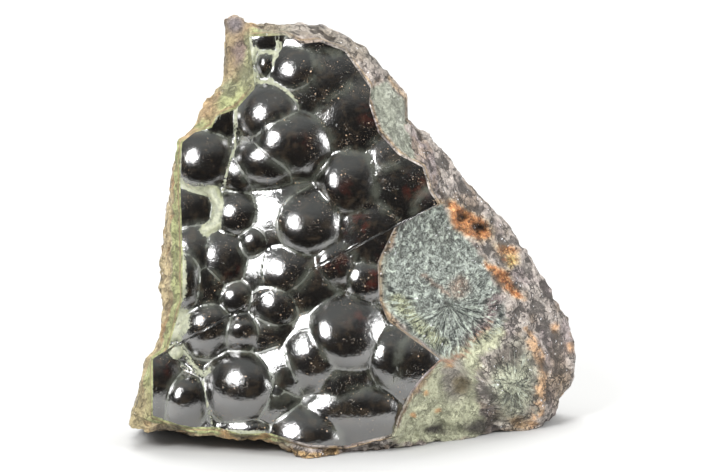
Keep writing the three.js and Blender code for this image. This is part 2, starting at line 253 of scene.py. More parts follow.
@dataclass(frozen=True)
class Lump:
    """One lump: the cap of a ball, which may be wider than high and may lean.

    It has a middle, the reach at which it meets its neighbours and the radius of its curve. It
    leans so that it glints at one place, or by a given slope to the right and up the face.
    """

    a: float
    b: float
    reach: float
    radius: float
    wide: float = 1.0
    glint: Spot | None = None
    lean: Spot = (0.0, 0.0)

    @property
    def slope(self) -> Spot:
        """How the lump slopes to the right and up the face.

        A glint needs the slope GLINT. The ball itself falls by offset / sqrt(radius^2 -
        offset^2) there, and the lean makes up the rest.

        Returns:
            The rise to the right and the rise up the face, for each millimetre.
        """
        if self.glint is None:
            return self.lean
        da, db = self.glint[0] - self.a, self.glint[1] - self.b
        fall = math.sqrt(self.radius**2 - (da / self.wide) ** 2 - db**2)
        return GLINT[0] + da / self.wide**2 / fall, GLINT[1] + db / fall

    def share(self, a: Array, b: Array) -> Array:
        """How far each place lies from the middle of the ball, as a share of its radius."""
        return np.hypot((a - self.a) / self.wide, b - self.b) / self.radius

    def height(self, a: Array, b: Array, share: Array) -> Array:
        """Height above the valleys, which is CREASE at the lump's reach.

        Args:
            a, b: the places.
            share: their distances from the middle, as a share of the radius.

        Returns:
            The heights in millimetres.
        """
        right, up = self.slope
        lean = right * (a - self.a) + up * (b - self.b)
        return CREASE + self.radius * (cap(self.reach / self.radius) - cap(share)) + lean


@dataclass(frozen=True)
class Patch:
    """A soft round patch on the face: its place, radius and strength."""

    a: float
    b: float
    radius: float
    strength: float = 1.0

    def at(self, a: Array, b: Array) -> Array:
        """Return strength * exp(-(distance / radius)^4), which is flat inside and soft outside."""
        d = np.hypot(a - self.a, b - self.b) / self.radius
        return self.strength * np.exp(-(d**4))


@dataclass(frozen=True)
class Oval:
    """A patch wider or higher than round: its place, half width, half height and strength."""

    a: float
    b: float
    wide: float
    high: float
    strength: float = 1.0

    def at(self, a: Array, b: Array) -> Array:
        """Return the strength inside, with a soft edge: strength * exp(-(distance)^4)."""
        d = np.hypot((a - self.a) / self.wide, (b - self.b) / self.high)
        return self.strength * np.exp(-(d**4))


@dataclass(frozen=True)
class Seam:
    """A line along the surface: the places that it runs through, its half width and strength."""

    through: tuple[Spot, ...]
    width: float
    strength: float = 1.0

    def at(self, a: Array, b: Array) -> Array:
        """Return strength * exp(-(distance / width)^4) from the nearest stretch of the line.

        Args:
            a, b: the places on the face.

        Returns:
            The strength at each place.
        """
        nearest = np.full(a.shape, np.inf)
        for (pa, pb), (qa, qb) in zip(self.through, self.through[1:]):
            nearest = np.minimum(nearest, off_edge((pa, pb), (qa, qb), a, b))
        return self.strength * np.exp(-((nearest / self.width) ** 4))


@dataclass(frozen=True)
class Area:
    """A closed outline filled evenly, with an edge of the given softness."""

    outline: tuple[Spot, ...]
    soft: float = 0.6
    strength: float = 1.0

    def at(self, a: Array, b: Array) -> Array:
        """Return the strength inside and 0 outside."""
        within = inside(self.outline, a, b) / self.soft + 0.5
        return self.strength * np.clip(within, 0.0, 1.0)


@dataclass(frozen=True)
class Layer:
    """One colour of the matrix and the shapes that it covers, with a ragged edge.

    The edge is stirred by waves of one size, by as many millimetres as ragged says.
    """

    colour: Colour
    shapes: tuple[Shape, ...]
    ragged: float = 0.5
    size: float = 2.2
    seeds: Spot = (61.0, 83.0)

    def at(self, points: Array) -> Array:
        """How much of the layer shows at each point, after waves have stirred its edge.

        Args:
            points: an (N, 3) array of a, b, n.

        Returns:
            Shares from 0 to 1.
        """
        stir = np.stack([rough_waves(points, self.size, 3, seed) for seed in self.seeds], axis=1)
        a, b = (points[:, :2] + stir * self.ragged).T
        return widest(self.shapes, a, b)


@dataclass(frozen=True)
class Hollow:
    """A weathered-out pit, or a low swelling: its place, radius and depth or height."""

    a: float
    b: float
    radius: float
    depth: float


@dataclass(frozen=True)
class FlatBreak:
    """A flat break across the back: a point on it and the way it faces, as a, b, n."""

    through: tuple[float, float, float]
    facing: tuple[float, float, float]


Shape = Patch | Oval | Seam | Area


def widest(patches: tuple[Shape, ...], a: Array, b: Array) -> Array:
    """Return the strongest of several shapes at each place."""
    return np.max([patch.at(a, b) for patch in patches], axis=0)


def off_edge(start: Spot, end: Spot, a: Array, b: Array) -> Array:
    """Distance from each place to the nearest point of a straight edge.

    Args:
        start, end: a and b of the two ends.
        a, b: the places.

    Returns:
        The distances.
    """
    ea, eb = end[0] - start[0], end[1] - start[1]
    da, db = a - start[0], b - start[1]
    t = np.clip((da * ea + db * eb) / (ea * ea + eb * eb), 0.0, 1.0)
    return np.hypot(da - ea * t, db - eb * t)


def between(low: Array, high: Array, shares: Array) -> Array:
    """Rows of points on the way from one row to another.

    Args:
        low, high: the two rows, as (N, 3) arrays.
        shares: how far along each new row lies, as one number or one for each of a, b and n.

    Returns:
        The rows one after the other, as one (rows * N, 3) array.
    """
    return (low + (high - low) * shares.reshape(len(shares), 1, -1)).reshape(-1, 3)


def polar(da: Array, db: Array, nearest: float = 0.05) -> Array:
    """The direction from a centre and the distance, for patterns that run out like rays.

    Args:
        da, db: steps from the centre.
        nearest: distances below this count as this one.

    Returns:
        An (N, 3) array of the direction's two parts and the distance.
    """
    r = np.hypot(da, db)
    safe = np.maximum(r, nearest)
    return np.stack([da / safe, db / safe, r], axis=1)


def inside(outline: tuple[Spot, ...], a: Array, b: Array) -> Array:
    """Signed distance to a closed outline, positive inside.

    The distance is the least over the edges of the gap to the edge's nearest point, and the sign
    comes from counting the edges that a ray to the right crosses.

    Args:
        outline: a and b of each corner.
        a, b: the places.

    Returns:
        The distances.
    """
    start = np.array(outline)
    end = np.roll(start, -1, axis=0)
    nearest = np.full(a.shape, np.inf)
    odd = np.zeros(a.shape, bool)
    for (pa, pb), (qa, qb) in zip(start, end):
        nearest = np.minimum(nearest, off_edge((pa, pb), (qa, qb), a, b))
        if pb != qb:
            odd ^= ((pb > b) != (qb > b)) & (a < (qa - pa) * (b - pb) / (qb - pb) + pa)
    return np.where(odd, nearest, -nearest)


@dataclass(frozen=True)
class Face:
    """The frame of the lumpy face and the crown on which its valleys lie.

    The face leans back by an angle. Rays spread over it from the heart, and the valleys fall
    away from there by the crown, for each square of a and b. The core lies inside the stone,
    and the seat is how far the stone is moved to stand where its frame does.
    """

    lean: float = math.radians(10)
    heart: Spot = (-10.8, 36.2)
    crown: Spot = (0.0030, 0.0012)
    core: tuple[float, float, float] = (-2.0, 32.0, -14.0)
    seat: Spot = (0.0, 0.0)

    def place(self, points: Array) -> Array:
        """Turn a, b, n in millimetres into the stone's own x, y, z in metres.

        Args:
            points: an array whose last axis holds a, b, n.

        Returns:
            An array of the same shape with x, y, z in metres.
        """
        s, c = math.sin(self.lean), math.cos(self.lean)
        a, b, n = points[..., 0], points[..., 1], points[..., 2]
        x, y, z = a - self.seat[0], b * s - n * c - self.seat[1], b * c + n * s
        return np.stack([x, y, z], axis=-1) * MM

    def seated(self, points: Array) -> "Face":
        """The same face, moved level so that the box round the points shares the frame's middle.

        Args:
            points: an (N, 3) array of a, b, n, all the vertices of the stone.

        Returns:
            The moved face.
        """
        spots = self.place(points)
        middle = (spots.min(axis=0) + spots.max(axis=0)) / 2
        goal = (np.array(cad_box[0]) + np.array(cad_box[1])) / 2
        x, y, _ = (middle - goal) / MM
        return replace(self, seat=(float(x), float(y)))

    def height(self, points: Array) -> Array:
        """Height of a, b, n points above the floor, in millimetres."""
        return points[..., 1] * math.cos(self.lean) + points[..., 2] * math.sin(self.lean)

    def valley(self, a: Array, b: Array) -> Array:
        """Depth of the valleys: a shallow crown that falls away from the heart by squares."""
        da, db = a - self.heart[0], b - self.heart[1]
        return -self.crown[0] * da**2 - self.crown[1] * db**2


CRUST_EDGE = Ring((
    (-21.2, 84.6, -3.0), (-13.8, 85.0, -2.8), (-10.8, 83.2, -2.6), (-6.8, 83.6, -2.6),
    (-1.8, 81.8, -2.6), (3.6, 74.2, -1.9), (3.2, 71.2, -1.2), (5.2, 65.2, 0.2),
    (9.2, 60.8, -1.2), (14.2, 58.2, -2.4), (15.6, 53.2, -1.2), (17.4, 50.6, -2.2),
    (9.2, 47.2, 0.0), (5.8, 40.2, 0.0), (5.2, 38.8, -0.4), (5.4, 31.2, -0.6),
    (7.2, 26.8, -0.8), (17.8, 19.0, -2.4), (14.2, 15.6, -2.2), (11.6, 12.2, -0.8),
    (9.2, 7.2, -0.4), (8.2, 3.8, -1.7), (-1.8, 1.4, -1.7), (-8.8, 1.6, 2.4),
    (-17.2, 4.0, -1.0), (-22.8, 3.8, -0.8), (-27.8, 5.2, -2.0), (-32.8, 5.2, -2.6),
    (-35.8, 5.8, -2.9), (-40.8, 7.6, -3.0), (-40.8, 13.4, -1.3), (-40.8, 19.2, -2.6),
    (-37.8, 20.8, -2.4), (-34.8, 31.2, -1.4), (-34.8, 41.2, -1.6), (-35.2, 53.2, -1.9),
    (-35.2, 59.0, -1.2), (-34.8, 63.2, -2.4), (-32.4, 65.2, -2.4), (-28.8, 66.2, -2.0),
    (-27.8, 68.6, -1.0), (-23.8, 70.0, -1.2), (-20.0, 74.2, -0.6), (-20.6, 80.2, -2.4),
))

BREAK_EDGE = Ring((
    (-24.0, 84.8, -5.6), (-20.4, 86.0, -5.2), (-10.8, 85.2, -5.0), (-1.4, 82.6, -5.2),
    (4.2, 78.2, -5.6), (7.4, 74.6, -5.8), (9.6, 71.6, -5.8), (10.0, 67.4, -5.4),
    (11.6, 61.4, -5.6), (14.8, 58.4, -6.4), (16.4, 54.2, -7.2), (17.8, 50.6, -8.0),
    (20.2, 46.8, -9.5), (24.2, 42.2, -12.0), (28.2, 37.2, -15.0), (30.8, 31.2, -18.0),
    (32.2, 26.2, -20.0), (36.2, 22.2, -23.5), (38.4, 17.2, -26.0), (38.8, 11.2, -27.0),
    (37.2, 6.4, -28.0), (30.0, 6.0, -24.0), (23.2, 4.8, -17.8), (17.2, 4.2, -14.0),
    (12.2, 3.4, -9.4), (8.6, 2.9, -5.6), (-1.8, 1.1, -3.4), (-8.8, 0.4, 3.2),
    (-17.2, 3.5, -1.8), (-22.8, 3.4, -1.8), (-27.8, 4.8, -2.9), (-32.8, 4.8, -3.4),
    (-35.8, 5.7, -4.0), (-43.0, 7.0, -5.0), (-42.4, 14.0, -4.6), (-41.0, 19.6, -4.6),
    (-38.8, 21.2, -4.4), (-36.6, 31.2, -4.0), (-37.0, 41.2, -4.4), (-35.9, 53.2, -4.0),
    (-35.3, 59.2, -3.8), (-34.4, 63.2, -4.0), (-32.4, 65.4, -4.0), (-29.4, 69.6, -4.0),
    (-25.6, 73.8, -4.6), (-24.0, 79.4, -5.2),
))

OUTLINE = Ring((
    (-25.8, 84.8, -7.6), (-25.9, 86.6, -7.6), (-25.2, 87.8, -7.5), (-23.6, 88.3, -7.4),
    (-22.2, 87.8, -7.4), (-21.9, 86.9, -7.3), (-20.8, 86.6, -7.3), (-10.8, 86.4, -7.2),
    (-6.8, 86.2, -7.2), (-0.8, 83.2, -7.4), (3.2, 80.8, -7.6),
    (4.8, 78.8, -7.8), (8.2, 75.2, -8.0), (10.6, 71.8, -8.2), (10.8, 67.2, -8.4),
    (12.2, 65.6, -9.6), (15.2, 63.6, -12.0), (18.2, 60.2, -15.0), (24.2, 52.2, -20.0),
    (33.2, 43.2, -27.0), (40.2, 33.2, -32.0), (44.2, 23.2, -35.0), (44.6, 18.2, -35.0),
    (44.2, 15.2, -34.5), (41.2, 11.2, -32.0), (39.6, 7.2, -31.0), (38.2, 5.8, -30.5),
    (35.2, 4.8, -27.0), (29.2, 4.4, -24.5), (26.2, 3.8, -21.6), (23.2, 3.2, -18.2),
    (17.2, 2.6, -14.6), (12.2, 1.7, -9.6), (9.2, 1.7, -8.0), (5.2, 1.2, -6.6),
    (-1.8, 0.7, -4.2), (-3.8, 0.0, -0.2), (-8.8, -0.6, 3.3), (-10.8, 0.2, 1.6),
    (-14.8, 2.2, -1.6), (-18.8, 3.6, -2.6), (-22.8, 3.0, -2.6), (-27.8, 4.4, -3.6),
    (-32.8, 4.4, -4.2), (-35.8, 5.5, -5.0), (-40.8, 4.8, -5.4), (-44.6, 5.6, -6.2),
    (-44.8, 7.2, -6.6), (-43.8, 11.2, -7.0), (-43.2, 13.6, -7.0), (-41.6, 19.6, -6.6),
    (-39.8, 21.2, -6.6), (-38.4, 26.2, -7.0), (-38.4, 31.2, -7.2), (-39.4, 33.6, -8.0),
    (-38.8, 39.2, -8.2), (-37.8, 42.2, -7.8), (-37.2, 47.2, -7.2), (-36.4, 52.8, -6.6),
    (-35.5, 59.2, -6.2), (-34.2, 63.2, -5.8), (-32.4, 65.6, -5.6), (-29.8, 71.2, -6.0),
    (-26.4, 74.2, -7.0), (-25.6, 79.2, -7.5),
))

FAR_EDGE = Ring((
    (-22, 80, -40), (-10, 80, -40), (0, 77, -42), (7, 68, -46), (14, 56, -52), (24, 42, -58),
    (33, 28, -62), (37, 16, -64), (33, 6, -66), (12, 4, -68), (-14, 4, -66), (-33, 5, -60),
    (-36, 18, -58), (-33, 36, -54), (-30, 52, -50), (-26, 68, -45),
))

BACK_BREAKS = (
    FlatBreak((-5, 36, -42), (0.06, 0.42, -0.91)),
    FlatBreak((-8, 70, -28), (-0.10, 0.66, -0.74)),
    FlatBreak((27, 26, -50), (0.55, 0.30, -0.78)),
    FlatBreak((-30, 26, -37), (-0.62, 0.18, -0.76)),
    FlatBreak((0, 12, -53), (0.05, -0.25, -0.97)),
    FlatBreak((43, 14, -48), (0.91, -0.10, -0.40)),
    FlatBreak((-42, 14, -30), (-0.95, -0.05, -0.30)),
)

LUMPS = (
    Lump(-17.8, 83.0, 2.6, 6.0, wide=1.2, glint=(-20.0, 84.6)),
    Lump(-8.2, 82.0, 2.6, 3.8, wide=2.1, glint=(-12.2, 83.0)),
    Lump(-17.6, 78.0, 2.4, 3.2, wide=0.7, glint=(-18.2, 78.8)),
    Lump(-12.0, 76.4, 5.4, 7.4, glint=(-13.4, 77.4)),
    Lump(-3.6, 74.6, 6.2, 17.0, wide=1.15, lean=(-0.25, -0.1)),
    Lump(0.4, 65.2, 6.0, 18.0, lean=(-0.2, 0.1)), Lump(-16.8, 67.8, 6.6, 7.6, glint=(-19.0, 68.8)),
    Lump(-11.2, 61.6, 7.2, 8.2, wide=1.15, glint=(-16.4, 63.4)),
    Lump(-17.6, 58.4, 5.4, 5.8, wide=1.3, glint=(-19.2, 60.2)),
    Lump(-30.2, 59.4, 6.2, 7.6, glint=(-32.6, 60.0)), Lump(-26.2, 66.6, 3.2, 8.0, lean=(-0.2, 0.1)),
    Lump(-23.2, 56.4, 3.6, 6.0, wide=0.8, glint=(-23.8, 57.6)),
    Lump(-23.8, 48.8, 4.0, 6.0, glint=(-25.0, 49.0)),
    Lump(-18.2, 48.8, 4.2, 18.0, glint=(-18.2, 49.0)),
    Lump(-8.6, 48.2, 6.8, 9.0, glint=(-12.2, 46.6)), Lump(1.8, 54.8, 5.8, 9.4, lean=(-0.5, -0.1)),
    Lump(11.6, 53.4, 5.0, 18.0, lean=(-0.3, 0.0)), Lump(8.2, 59.0, 3.6, 12.0, lean=(-0.2, -0.1)),
    Lump(6.4, 44.2, 5.2, 22.0, wide=0.9, lean=(-0.3, 0.0)),
    Lump(0.8, 46.0, 2.4, 8.0, lean=(-0.3, 0.0)), Lump(14.0, 50.4, 2.6, 6.0, wide=1.3),
    Lump(-2.2, 38.6, 4.2, 6.6, lean=(-0.45, 0.0)), Lump(-13.4, 39.0, 5.8, 9.0, glint=(-15.8, 37.8)),
    Lump(-8.4, 34.2, 6.0, 12.0, lean=(-0.2, 0.0)), Lump(-16.2, 30.2, 5.0, 6.6, glint=(-17.2, 31.2)),
    Lump(-22.2, 23.4, 3.4, 4.6, glint=(-23.4, 26.0)),
    Lump(-9.2, 27.6, 5.2, 16.0, glint=(-11.0, 25.6)),
    Lump(-0.2, 26.0, 7.4, 10.0, glint=(-6.0, 25.0)),
    Lump(-9.0, 19.8, 7.0, 9.6, wide=0.9, glint=(-10.4, 21.8)),
    Lump(-0.6, 14.6, 5.0, 10.0, lean=(-0.3, 0.0)),
    Lump(-0.8, 7.2, 5.0, 8.0, wide=1.6, glint=(-7.0, 10.4)),
    Lump(-10.2, 4.8, 6.0, 7.6, wide=1.15, glint=(-12.6, 4.8)),
    Lump(-23.8, 13.4, 6.8, 8.6, glint=(-23.8, 15.6)),
    Lump(-32.4, 10.2, 4.4, 6.8, wide=0.85, glint=(-35.2, 12.6)),
    Lump(-37.8, 14.4, 6.0, 10.0, wide=0.8, lean=(-0.4, 0.1)),
    Lump(-31.4, 28.8, 3.8, 14.0, lean=(0.0, 0.5)), Lump(-28.6, 24.0, 5.0, 7.0, lean=(-0.1, 0.4)),
    Lump(-32.8, 35.6, 7.0, 8.4, wide=0.6, lean=(-0.4, 0.0)),
    Lump(-23.8, 40.8, 4.0, 10.0, lean=(-0.3, -0.2)),
    Lump(-29.6, 37.6, 6.0, 14.0, wide=0.8, lean=(-0.4, 0.1)), Lump(-23.6, 31.6, 3.2, 4.6),
    Lump(-18.8, 42.0, 2.8, 5.0, lean=(-0.2, 0.2)),
    Lump(-19.4, 38.4, 3.6, 14.0, glint=(-19.4, 38.6)),
    Lump(-31.8, 48.0, 3.8, 12.0, lean=(-0.2, 0.1)), Lump(-16.8, 22.0, 2.6, 12.0, lean=(0.1, 0.4)),
    Lump(-17.2, 18.8, 3.2, 12.0, glint=(-16.4, 19.6)), Lump(-16.2, 16.0, 2.2, 3.5),
    Lump(-15.6, 12.4, 2.4, 3.5), Lump(-15.6, 8.2, 3.2, 8.0, lean=(0.0, 0.4)),
    Lump(-22.4, 5.4, 1.8, 2.4, wide=2.2, glint=(-23.2, 5.8)),
    Lump(10.6, 19.6, 4.6, 9.0, lean=(-0.5, 0.0)),
    Lump(14.6, 18.8, 3.2, 7.0, wide=1.2, lean=(-0.3, 0.0)),
    Lump(10.0, 14.0, 4.2, 12.0, lean=(0.0, 0.5)), Lump(3.4, 34.8, 3.4, 6.0, lean=(-0.3, 0.1)),
)

HOLLOWS = (
    Hollow(21.6, 47.4, 2.2, 1.2), Hollow(25.0, 45.4, 1.5, 0.9),
    Hollow(30.4, 40.0, 2.8, 1.2), Hollow(31.4, 34.6, 3.6, 1.4),
    Hollow(21.6, 47.6, 1.1, 1.2), Hollow(25.2, 45.8, 1.8, 1.2), Hollow(29.4, 36.4, 1.6, 0.8),
)

SWELLINGS = (
    Hollow(32.2, 14.2, 7.5, 1.6), Hollow(23.0, 8.0, 6.0, 0.8), Hollow(36.5, 29.0, 6.0, 0.9),
    Hollow(-23.8, 86.2, 2.6, 1.6),
)


@dataclass
class Stone:
    """The whole stone as one closed surface, from the middle of the face to the back.

    Lengths are in millimetres.
    """

    face: Face = Face()
    cells: int = 192                 # squares along one side of the face's grid
    rays: int = 7201                 # rays with which the rings are walked to space the columns
    longest_step: float = 0.4        # a longer step from ray to ray counts as this one
    fillet: float = 0.7              # two surfaces closer than this are rounded into each other
    snap: float = 0.22               # vertices closer to a crease than this move onto it
    wall: float = 0.30               # gap between the face's grid and the crust's edge
    lump_reach: float = 1.6          # a lump is worked out up to this share of its radius
    probe: float = 0.03              # step to the side with which slopes are measured
    grit: float = 0.14               # height and size of the waves of the valleys
    grit_size: float = 2.4
    wobble: float = 0.02             # how much, and over what size, a lump's outline wavers
    wobble_size: float = 5.0
    ripple: float = 0.025            # height and size of the waves on a lump
    ripple_size: float = 2.6
    chip_size: Spot = (13.0, 6.0)    # of the large and the small broken chips
    chip_depth: Spot = (2.4, 0.9)
    chip_crispness: float = 14.0
    grains: tuple[tuple[float, float, float, float], ...] = (
        (0.66, 2.6, 29, 11.0), (0.36, 1.2, 41, 10.0),
    )                                # height, size, seed and crispness of the fine chips
    roughness: float = 0.14          # height and size of the waves over the fine chips
    roughness_size: float = 1.6
    lip: Spot = (0.55, 0.45)         # shares of the face and of the rim in the row between them
    fresh_rows: int = 34
    rim_rows: int = 14
    flank_rows: int = 30
    back_rows: int = 18
    deepest: float = 95.0            # a ray that meets no flat break ends this far from the core
    pit_wobble: float = 0.25         # how much, and over what size, a pit's outline wavers
    pit_wobble_size: float = 0.9
    back: tuple[float, float, float] = (-4.0, 40.0, -75.0)

    @property
    def heart(self) -> Array:
        """The middle of the face."""
        return np.array(self.face.heart)

    @property
    def core(self) -> Array:
        """A point inside the stone from which chips push away."""
        return np.array(self.face.core)

    def angles(self) -> Array:
        """Angles of the columns.

        They are spaced by the mean of the lengths walked along the crust's edge and along the
        outline, and start below left of the heart.

        Returns:
            4 * cells + 1 rising angles, the last a full turn after the first.
        """
        fine = np.linspace(-0.75 * math.pi, 1.25 * math.pi, self.rays)
        share = np.zeros(len(fine))
        for ring in (CRUST_EDGE, OUTLINE):
            spots = ring.crossing(self.heart, fine)[:, :2]
            steps = np.linalg.norm(np.diff(spots, axis=0), axis=1)
            steps = np.minimum(steps, self.longest_step)
            share[1:] += np.cumsum(steps) / steps.sum() / 2
        return np.interp(np.linspace(0, 1, 4 * self.cells + 1), share, fine)

    # ---- the face ----

    def tops(self, a: Array, b: Array) -> tuple[Array, Array, Array]:
        """Find the highest and second highest surface over each place of the face.

        Slow waves stir the outline of each lump a little.

        Args:
            a, b: the places on the face.

        Returns:
            The two heights and which surface is the highest, 0 for the valley.
        """
        points = np.stack([a, b, np.zeros_like(a)], axis=1)
        grit = rough_waves(points, self.grit_size, 3, 5.0) * self.grit
        layers = [self.face.valley(a, b) + CREASE * widest(DUSTY, a, b) + grit]
        for k, lump in enumerate(LUMPS):
            share = lump.share(a, b)
            near = share < self.lump_reach
            place = points[near] + (0.0, 0.0, 17.3 * k)
            share = share[near] * (1.0 + self.wobble * waves(place, self.wobble_size, 0.37 * k))
            height = np.full(a.shape, FAR_BELOW)
            floor = self.face.valley(lump.a, lump.b)
            height[near] = floor + lump.height(a[near], b[near], share)
            layers.append(height + self.ripple * waves(points, self.ripple_size, 2.0 + 0.61 * k))
        stack = np.array(layers)
        order = np.argpartition(stack, -2, axis=0)[-2:]
        pair = np.take_along_axis(stack, order, axis=0)
        high = np.argmax(pair, axis=0)
        rows = np.arange(len(a))
        return pair[high, rows], pair[1 - high, rows], order[high, rows]

    def crease(self, a: Array, b: Array) -> tuple[Array, Array]:
        """Vector from each place to the nearest crease between two lumps.

        The gap between the two highest surfaces falls to nothing at the crease, so the crease
        lies at gap / slope, down the gap's slope.

        Args:
            a, b: the places on the face.

        Returns:
            The steps in a and in b.
        """
        step = self.probe
        first, second, _ = self.tops(a, b)
        gap = first - second
        right = np.subtract(*self.tops(a + step, b)[:2])
        up = np.subtract(*self.tops(a, b + step)[:2])
        ga, gb = (right - gap) / step, (up - gap) / step
        square = np.maximum(ga * ga + gb * gb, 1e-4)
        return -gap * ga / square, -gap * gb / square

    def face_points(self, angles: Array) -> tuple[Array, Array, Array]:
        """Points of the lumpy face on a square grid bent to the crust's edge.

        A place of the square at distance rho from its middle, measured to the nearest side, goes
        rho of the way from the heart to the crust's edge. Places close to a crease move onto it.
        Where the two highest surfaces are less than the fillet apart, the surface rises by
        (fillet - apart)^2 / (4 fillet), which rounds the crease off.

        Args:
            angles: the angles of the columns.

        Returns:
            The points, the distance to the nearest crease, and 1 where the valley shows.
        """
        n = self.cells
        j, i = np.meshgrid(np.arange(n + 1), np.arange(n + 1), indexing="ij")
        x, y = (2.0 * i / n - 1.0).ravel(), (2.0 * j / n - 1.0).ravel()
        rho = np.maximum(np.abs(x), np.abs(y))
        safe = np.maximum(rho, 1e-9)
        u, v = x / safe, y / safe
        side = [v <= -1 + 1e-9, u >= 1 - 1e-9, v >= 1 - 1e-9]
        walked = [(u + 1) / 2 * n, n + (v + 1) / 2 * n, 2 * n + (1 - u) / 2 * n]
        column = np.select(side, walked, 3 * n + (1 - v) / 2 * n)
        angle = np.interp(column, np.arange(4 * n + 1), angles)
        edge = CRUST_EDGE.crossing(self.heart, angle)[:, :2] - self.heart
        reach = np.linalg.norm(edge, axis=1)
        spot = self.heart + edge * (rho * (1.0 - self.wall / reach))[:, None]
        a, b = spot.T.copy()
        da, db = self.crease(a, b)
        length = np.hypot(da, db)
        move = (length < self.snap) & (rho < 1 - 1e-9)
        a[move] += da[move]
        b[move] += db[move]
        top, second, which = self.tops(a, b)
        top += np.maximum(self.fillet - top + second, 0.0) ** 2 / (4.0 * self.fillet)
        da, db = self.crease(a, b)
        gap = np.minimum(np.hypot(da, db), WIDEST_GAP)
        gap[move] = 0.0
        return np.stack([a, b, top], axis=1), gap, (which == 0).astype(float)

    # ---- rim, flanks and back ----

    def chipped(self, points: Array, rough: Array) -> Array:
        """Move points away from the core by the chips around them.

        Args:
            points: an (N, 3) array of a, b, n.
            rough: N values from 0 to 1, 1 where the matrix is wildest.

        Returns:
            The moved points.
        """
        crispness = self.chip_crispness
        lift = self.chip_depth[0] * rough * chips(points, self.chip_size[0], 3, crispness)
        small = np.minimum(1.0, 2.5 * rough) * (0.35 + 0.65 * rough)
        lift += self.chip_depth[1] * small * chips(points, self.chip_size[1], 11, crispness)
        return self.pushed(points, lift)

    def pushed(self, points: Array, lift: Array) -> Array:
        """Move each point straight away from the core by its own distance."""
        out = points - self.core
        return points + out * (lift / np.linalg.norm(out, axis=1))[:, None]

    def grain(self, points: Array, strength: Array) -> tuple[Array, Array]:
        """Give points a fine broken grain, as crisp small chips and rough waves.

        Args:
            points: an (N, 3) array of a, b, n.
            strength: N values, 1 for the full grain.

        Returns:
            The moved points and how far each was moved, in millimetres.
        """
        lift = sum(height * chips(points, *rest) for height, *rest in self.grains)
        lift = lift + self.roughness * rough_waves(points, self.roughness_size, 2, 2.0)
        lift = lift * strength
        return self.pushed(points, lift), lift

    def backed(self, points: Array) -> Array:
        """Draw points in towards the core until none lies behind the broken back.

        Args:
            points: an (N, 3) array of a, b, n.

        Returns:
            The points, none of them behind the back.
        """
        out = points - self.core
        length = np.linalg.norm(out, axis=1)
        ray = out / length[:, None]
        reach = np.full(len(points), self.deepest)
        for cut in BACK_BREAKS:
            facing = np.array(cut.facing)
            room = facing @ (np.array(cut.through) - self.core)
            pace = ray @ facing
            reach = np.where(pace > 1e-6, np.minimum(reach, room / np.maximum(pace, 1e-6)), reach)
        limit = self.chipped(self.core + ray * reach[:, None], np.ones(len(points)))
        limit = np.linalg.norm(limit - self.core, axis=1)
        return self.core + ray * np.minimum(length, limit)[:, None]

    def based(self, points: Array) -> Array:
        """Draw points below the floor in towards the core until they lie on it.

        Args:
            points: an (N, 3) array of a, b, n.

        Returns:
            The points, none of them below the floor.
        """
        height = self.face.height(points)
        middle = self.face.height(self.core)
        share = np.where(height < 0, -height / (middle - height), 0.0)
        return points + (self.core - points) * share[:, None]

    def swollen(self, points: Array) -> Array:
        """Raise the low swellings, and sink the pits, whose outlines waver.

        Args:
            points: an (N, 3) array of a, b, n.

        Returns:
            The moved points.
        """
        points = points.copy()
        for form, sign in [(s, 1.0) for s in SWELLINGS] + [(h, -1.0) for h in HOLLOWS]:
            d = np.hypot(points[:, 0] - form.a, points[:, 1] - form.b) / form.radius
            if sign < 0:
                d = d + self.pit_wobble * waves(points, self.pit_wobble_size, 8.0)
            dome = np.maximum(1.0 - d * d, 0.0) ** (2.0 if sign > 0 else 0.8)
            points[:, 2] += sign * form.depth * dome
        return points

    def rim_points(self, angles: Array) -> tuple[Array, Array, Array]:
        """Rows from the crust's edge over the fresh break and the rough rim to the outline.

        Each row lies a share of the way from one ring to the next.

        Args:
            angles: the angles of the columns.

        Returns:
            The points row by row, the band each lies in and how far its grain lifts it. The band
            is 0 at the crust's edge, 1 at the edge of the fresh break and 2 at the outline.
        """
        crust = CRUST_EDGE.crossing(self.heart, angles)
        stop = BREAK_EDGE.crossing(self.heart, angles)
        outline = OUTLINE.crossing(self.heart, angles)
        fresh = np.arange(self.fresh_rows + 1) / self.fresh_rows
        rim = np.arange(1, self.rim_rows + 1) / self.rim_rows
        bands = np.append(fresh, 1 + rim)
        rough = np.append(0.35 * np.minimum(1.0, 4 * fresh), 0.35 + (0.15 - 0.35) * rim)
        grain = np.append(np.minimum(1.0, 0.25 + 2.0 * fresh) * 0.8, np.ones(len(rim)))
        count = len(angles)
        rows = [between(crust, stop, fresh), between(stop, outline, rim)]
        points = self.chipped(self.swollen(np.concatenate(rows)), np.repeat(rough, count))
        points, lift = self.grain(points, np.repeat(grain, count) * self.grain_zone(points))
        return points, np.repeat(bands, count), lift

    def grain_zone(self, points: Array) -> Array:
        """How coarse the grain is over the face: finer on the fibres and full elsewhere."""
        return 1.0 - Area(FIBRES, 1.5, 0.40).at(points[:, 0], points[:, 1])

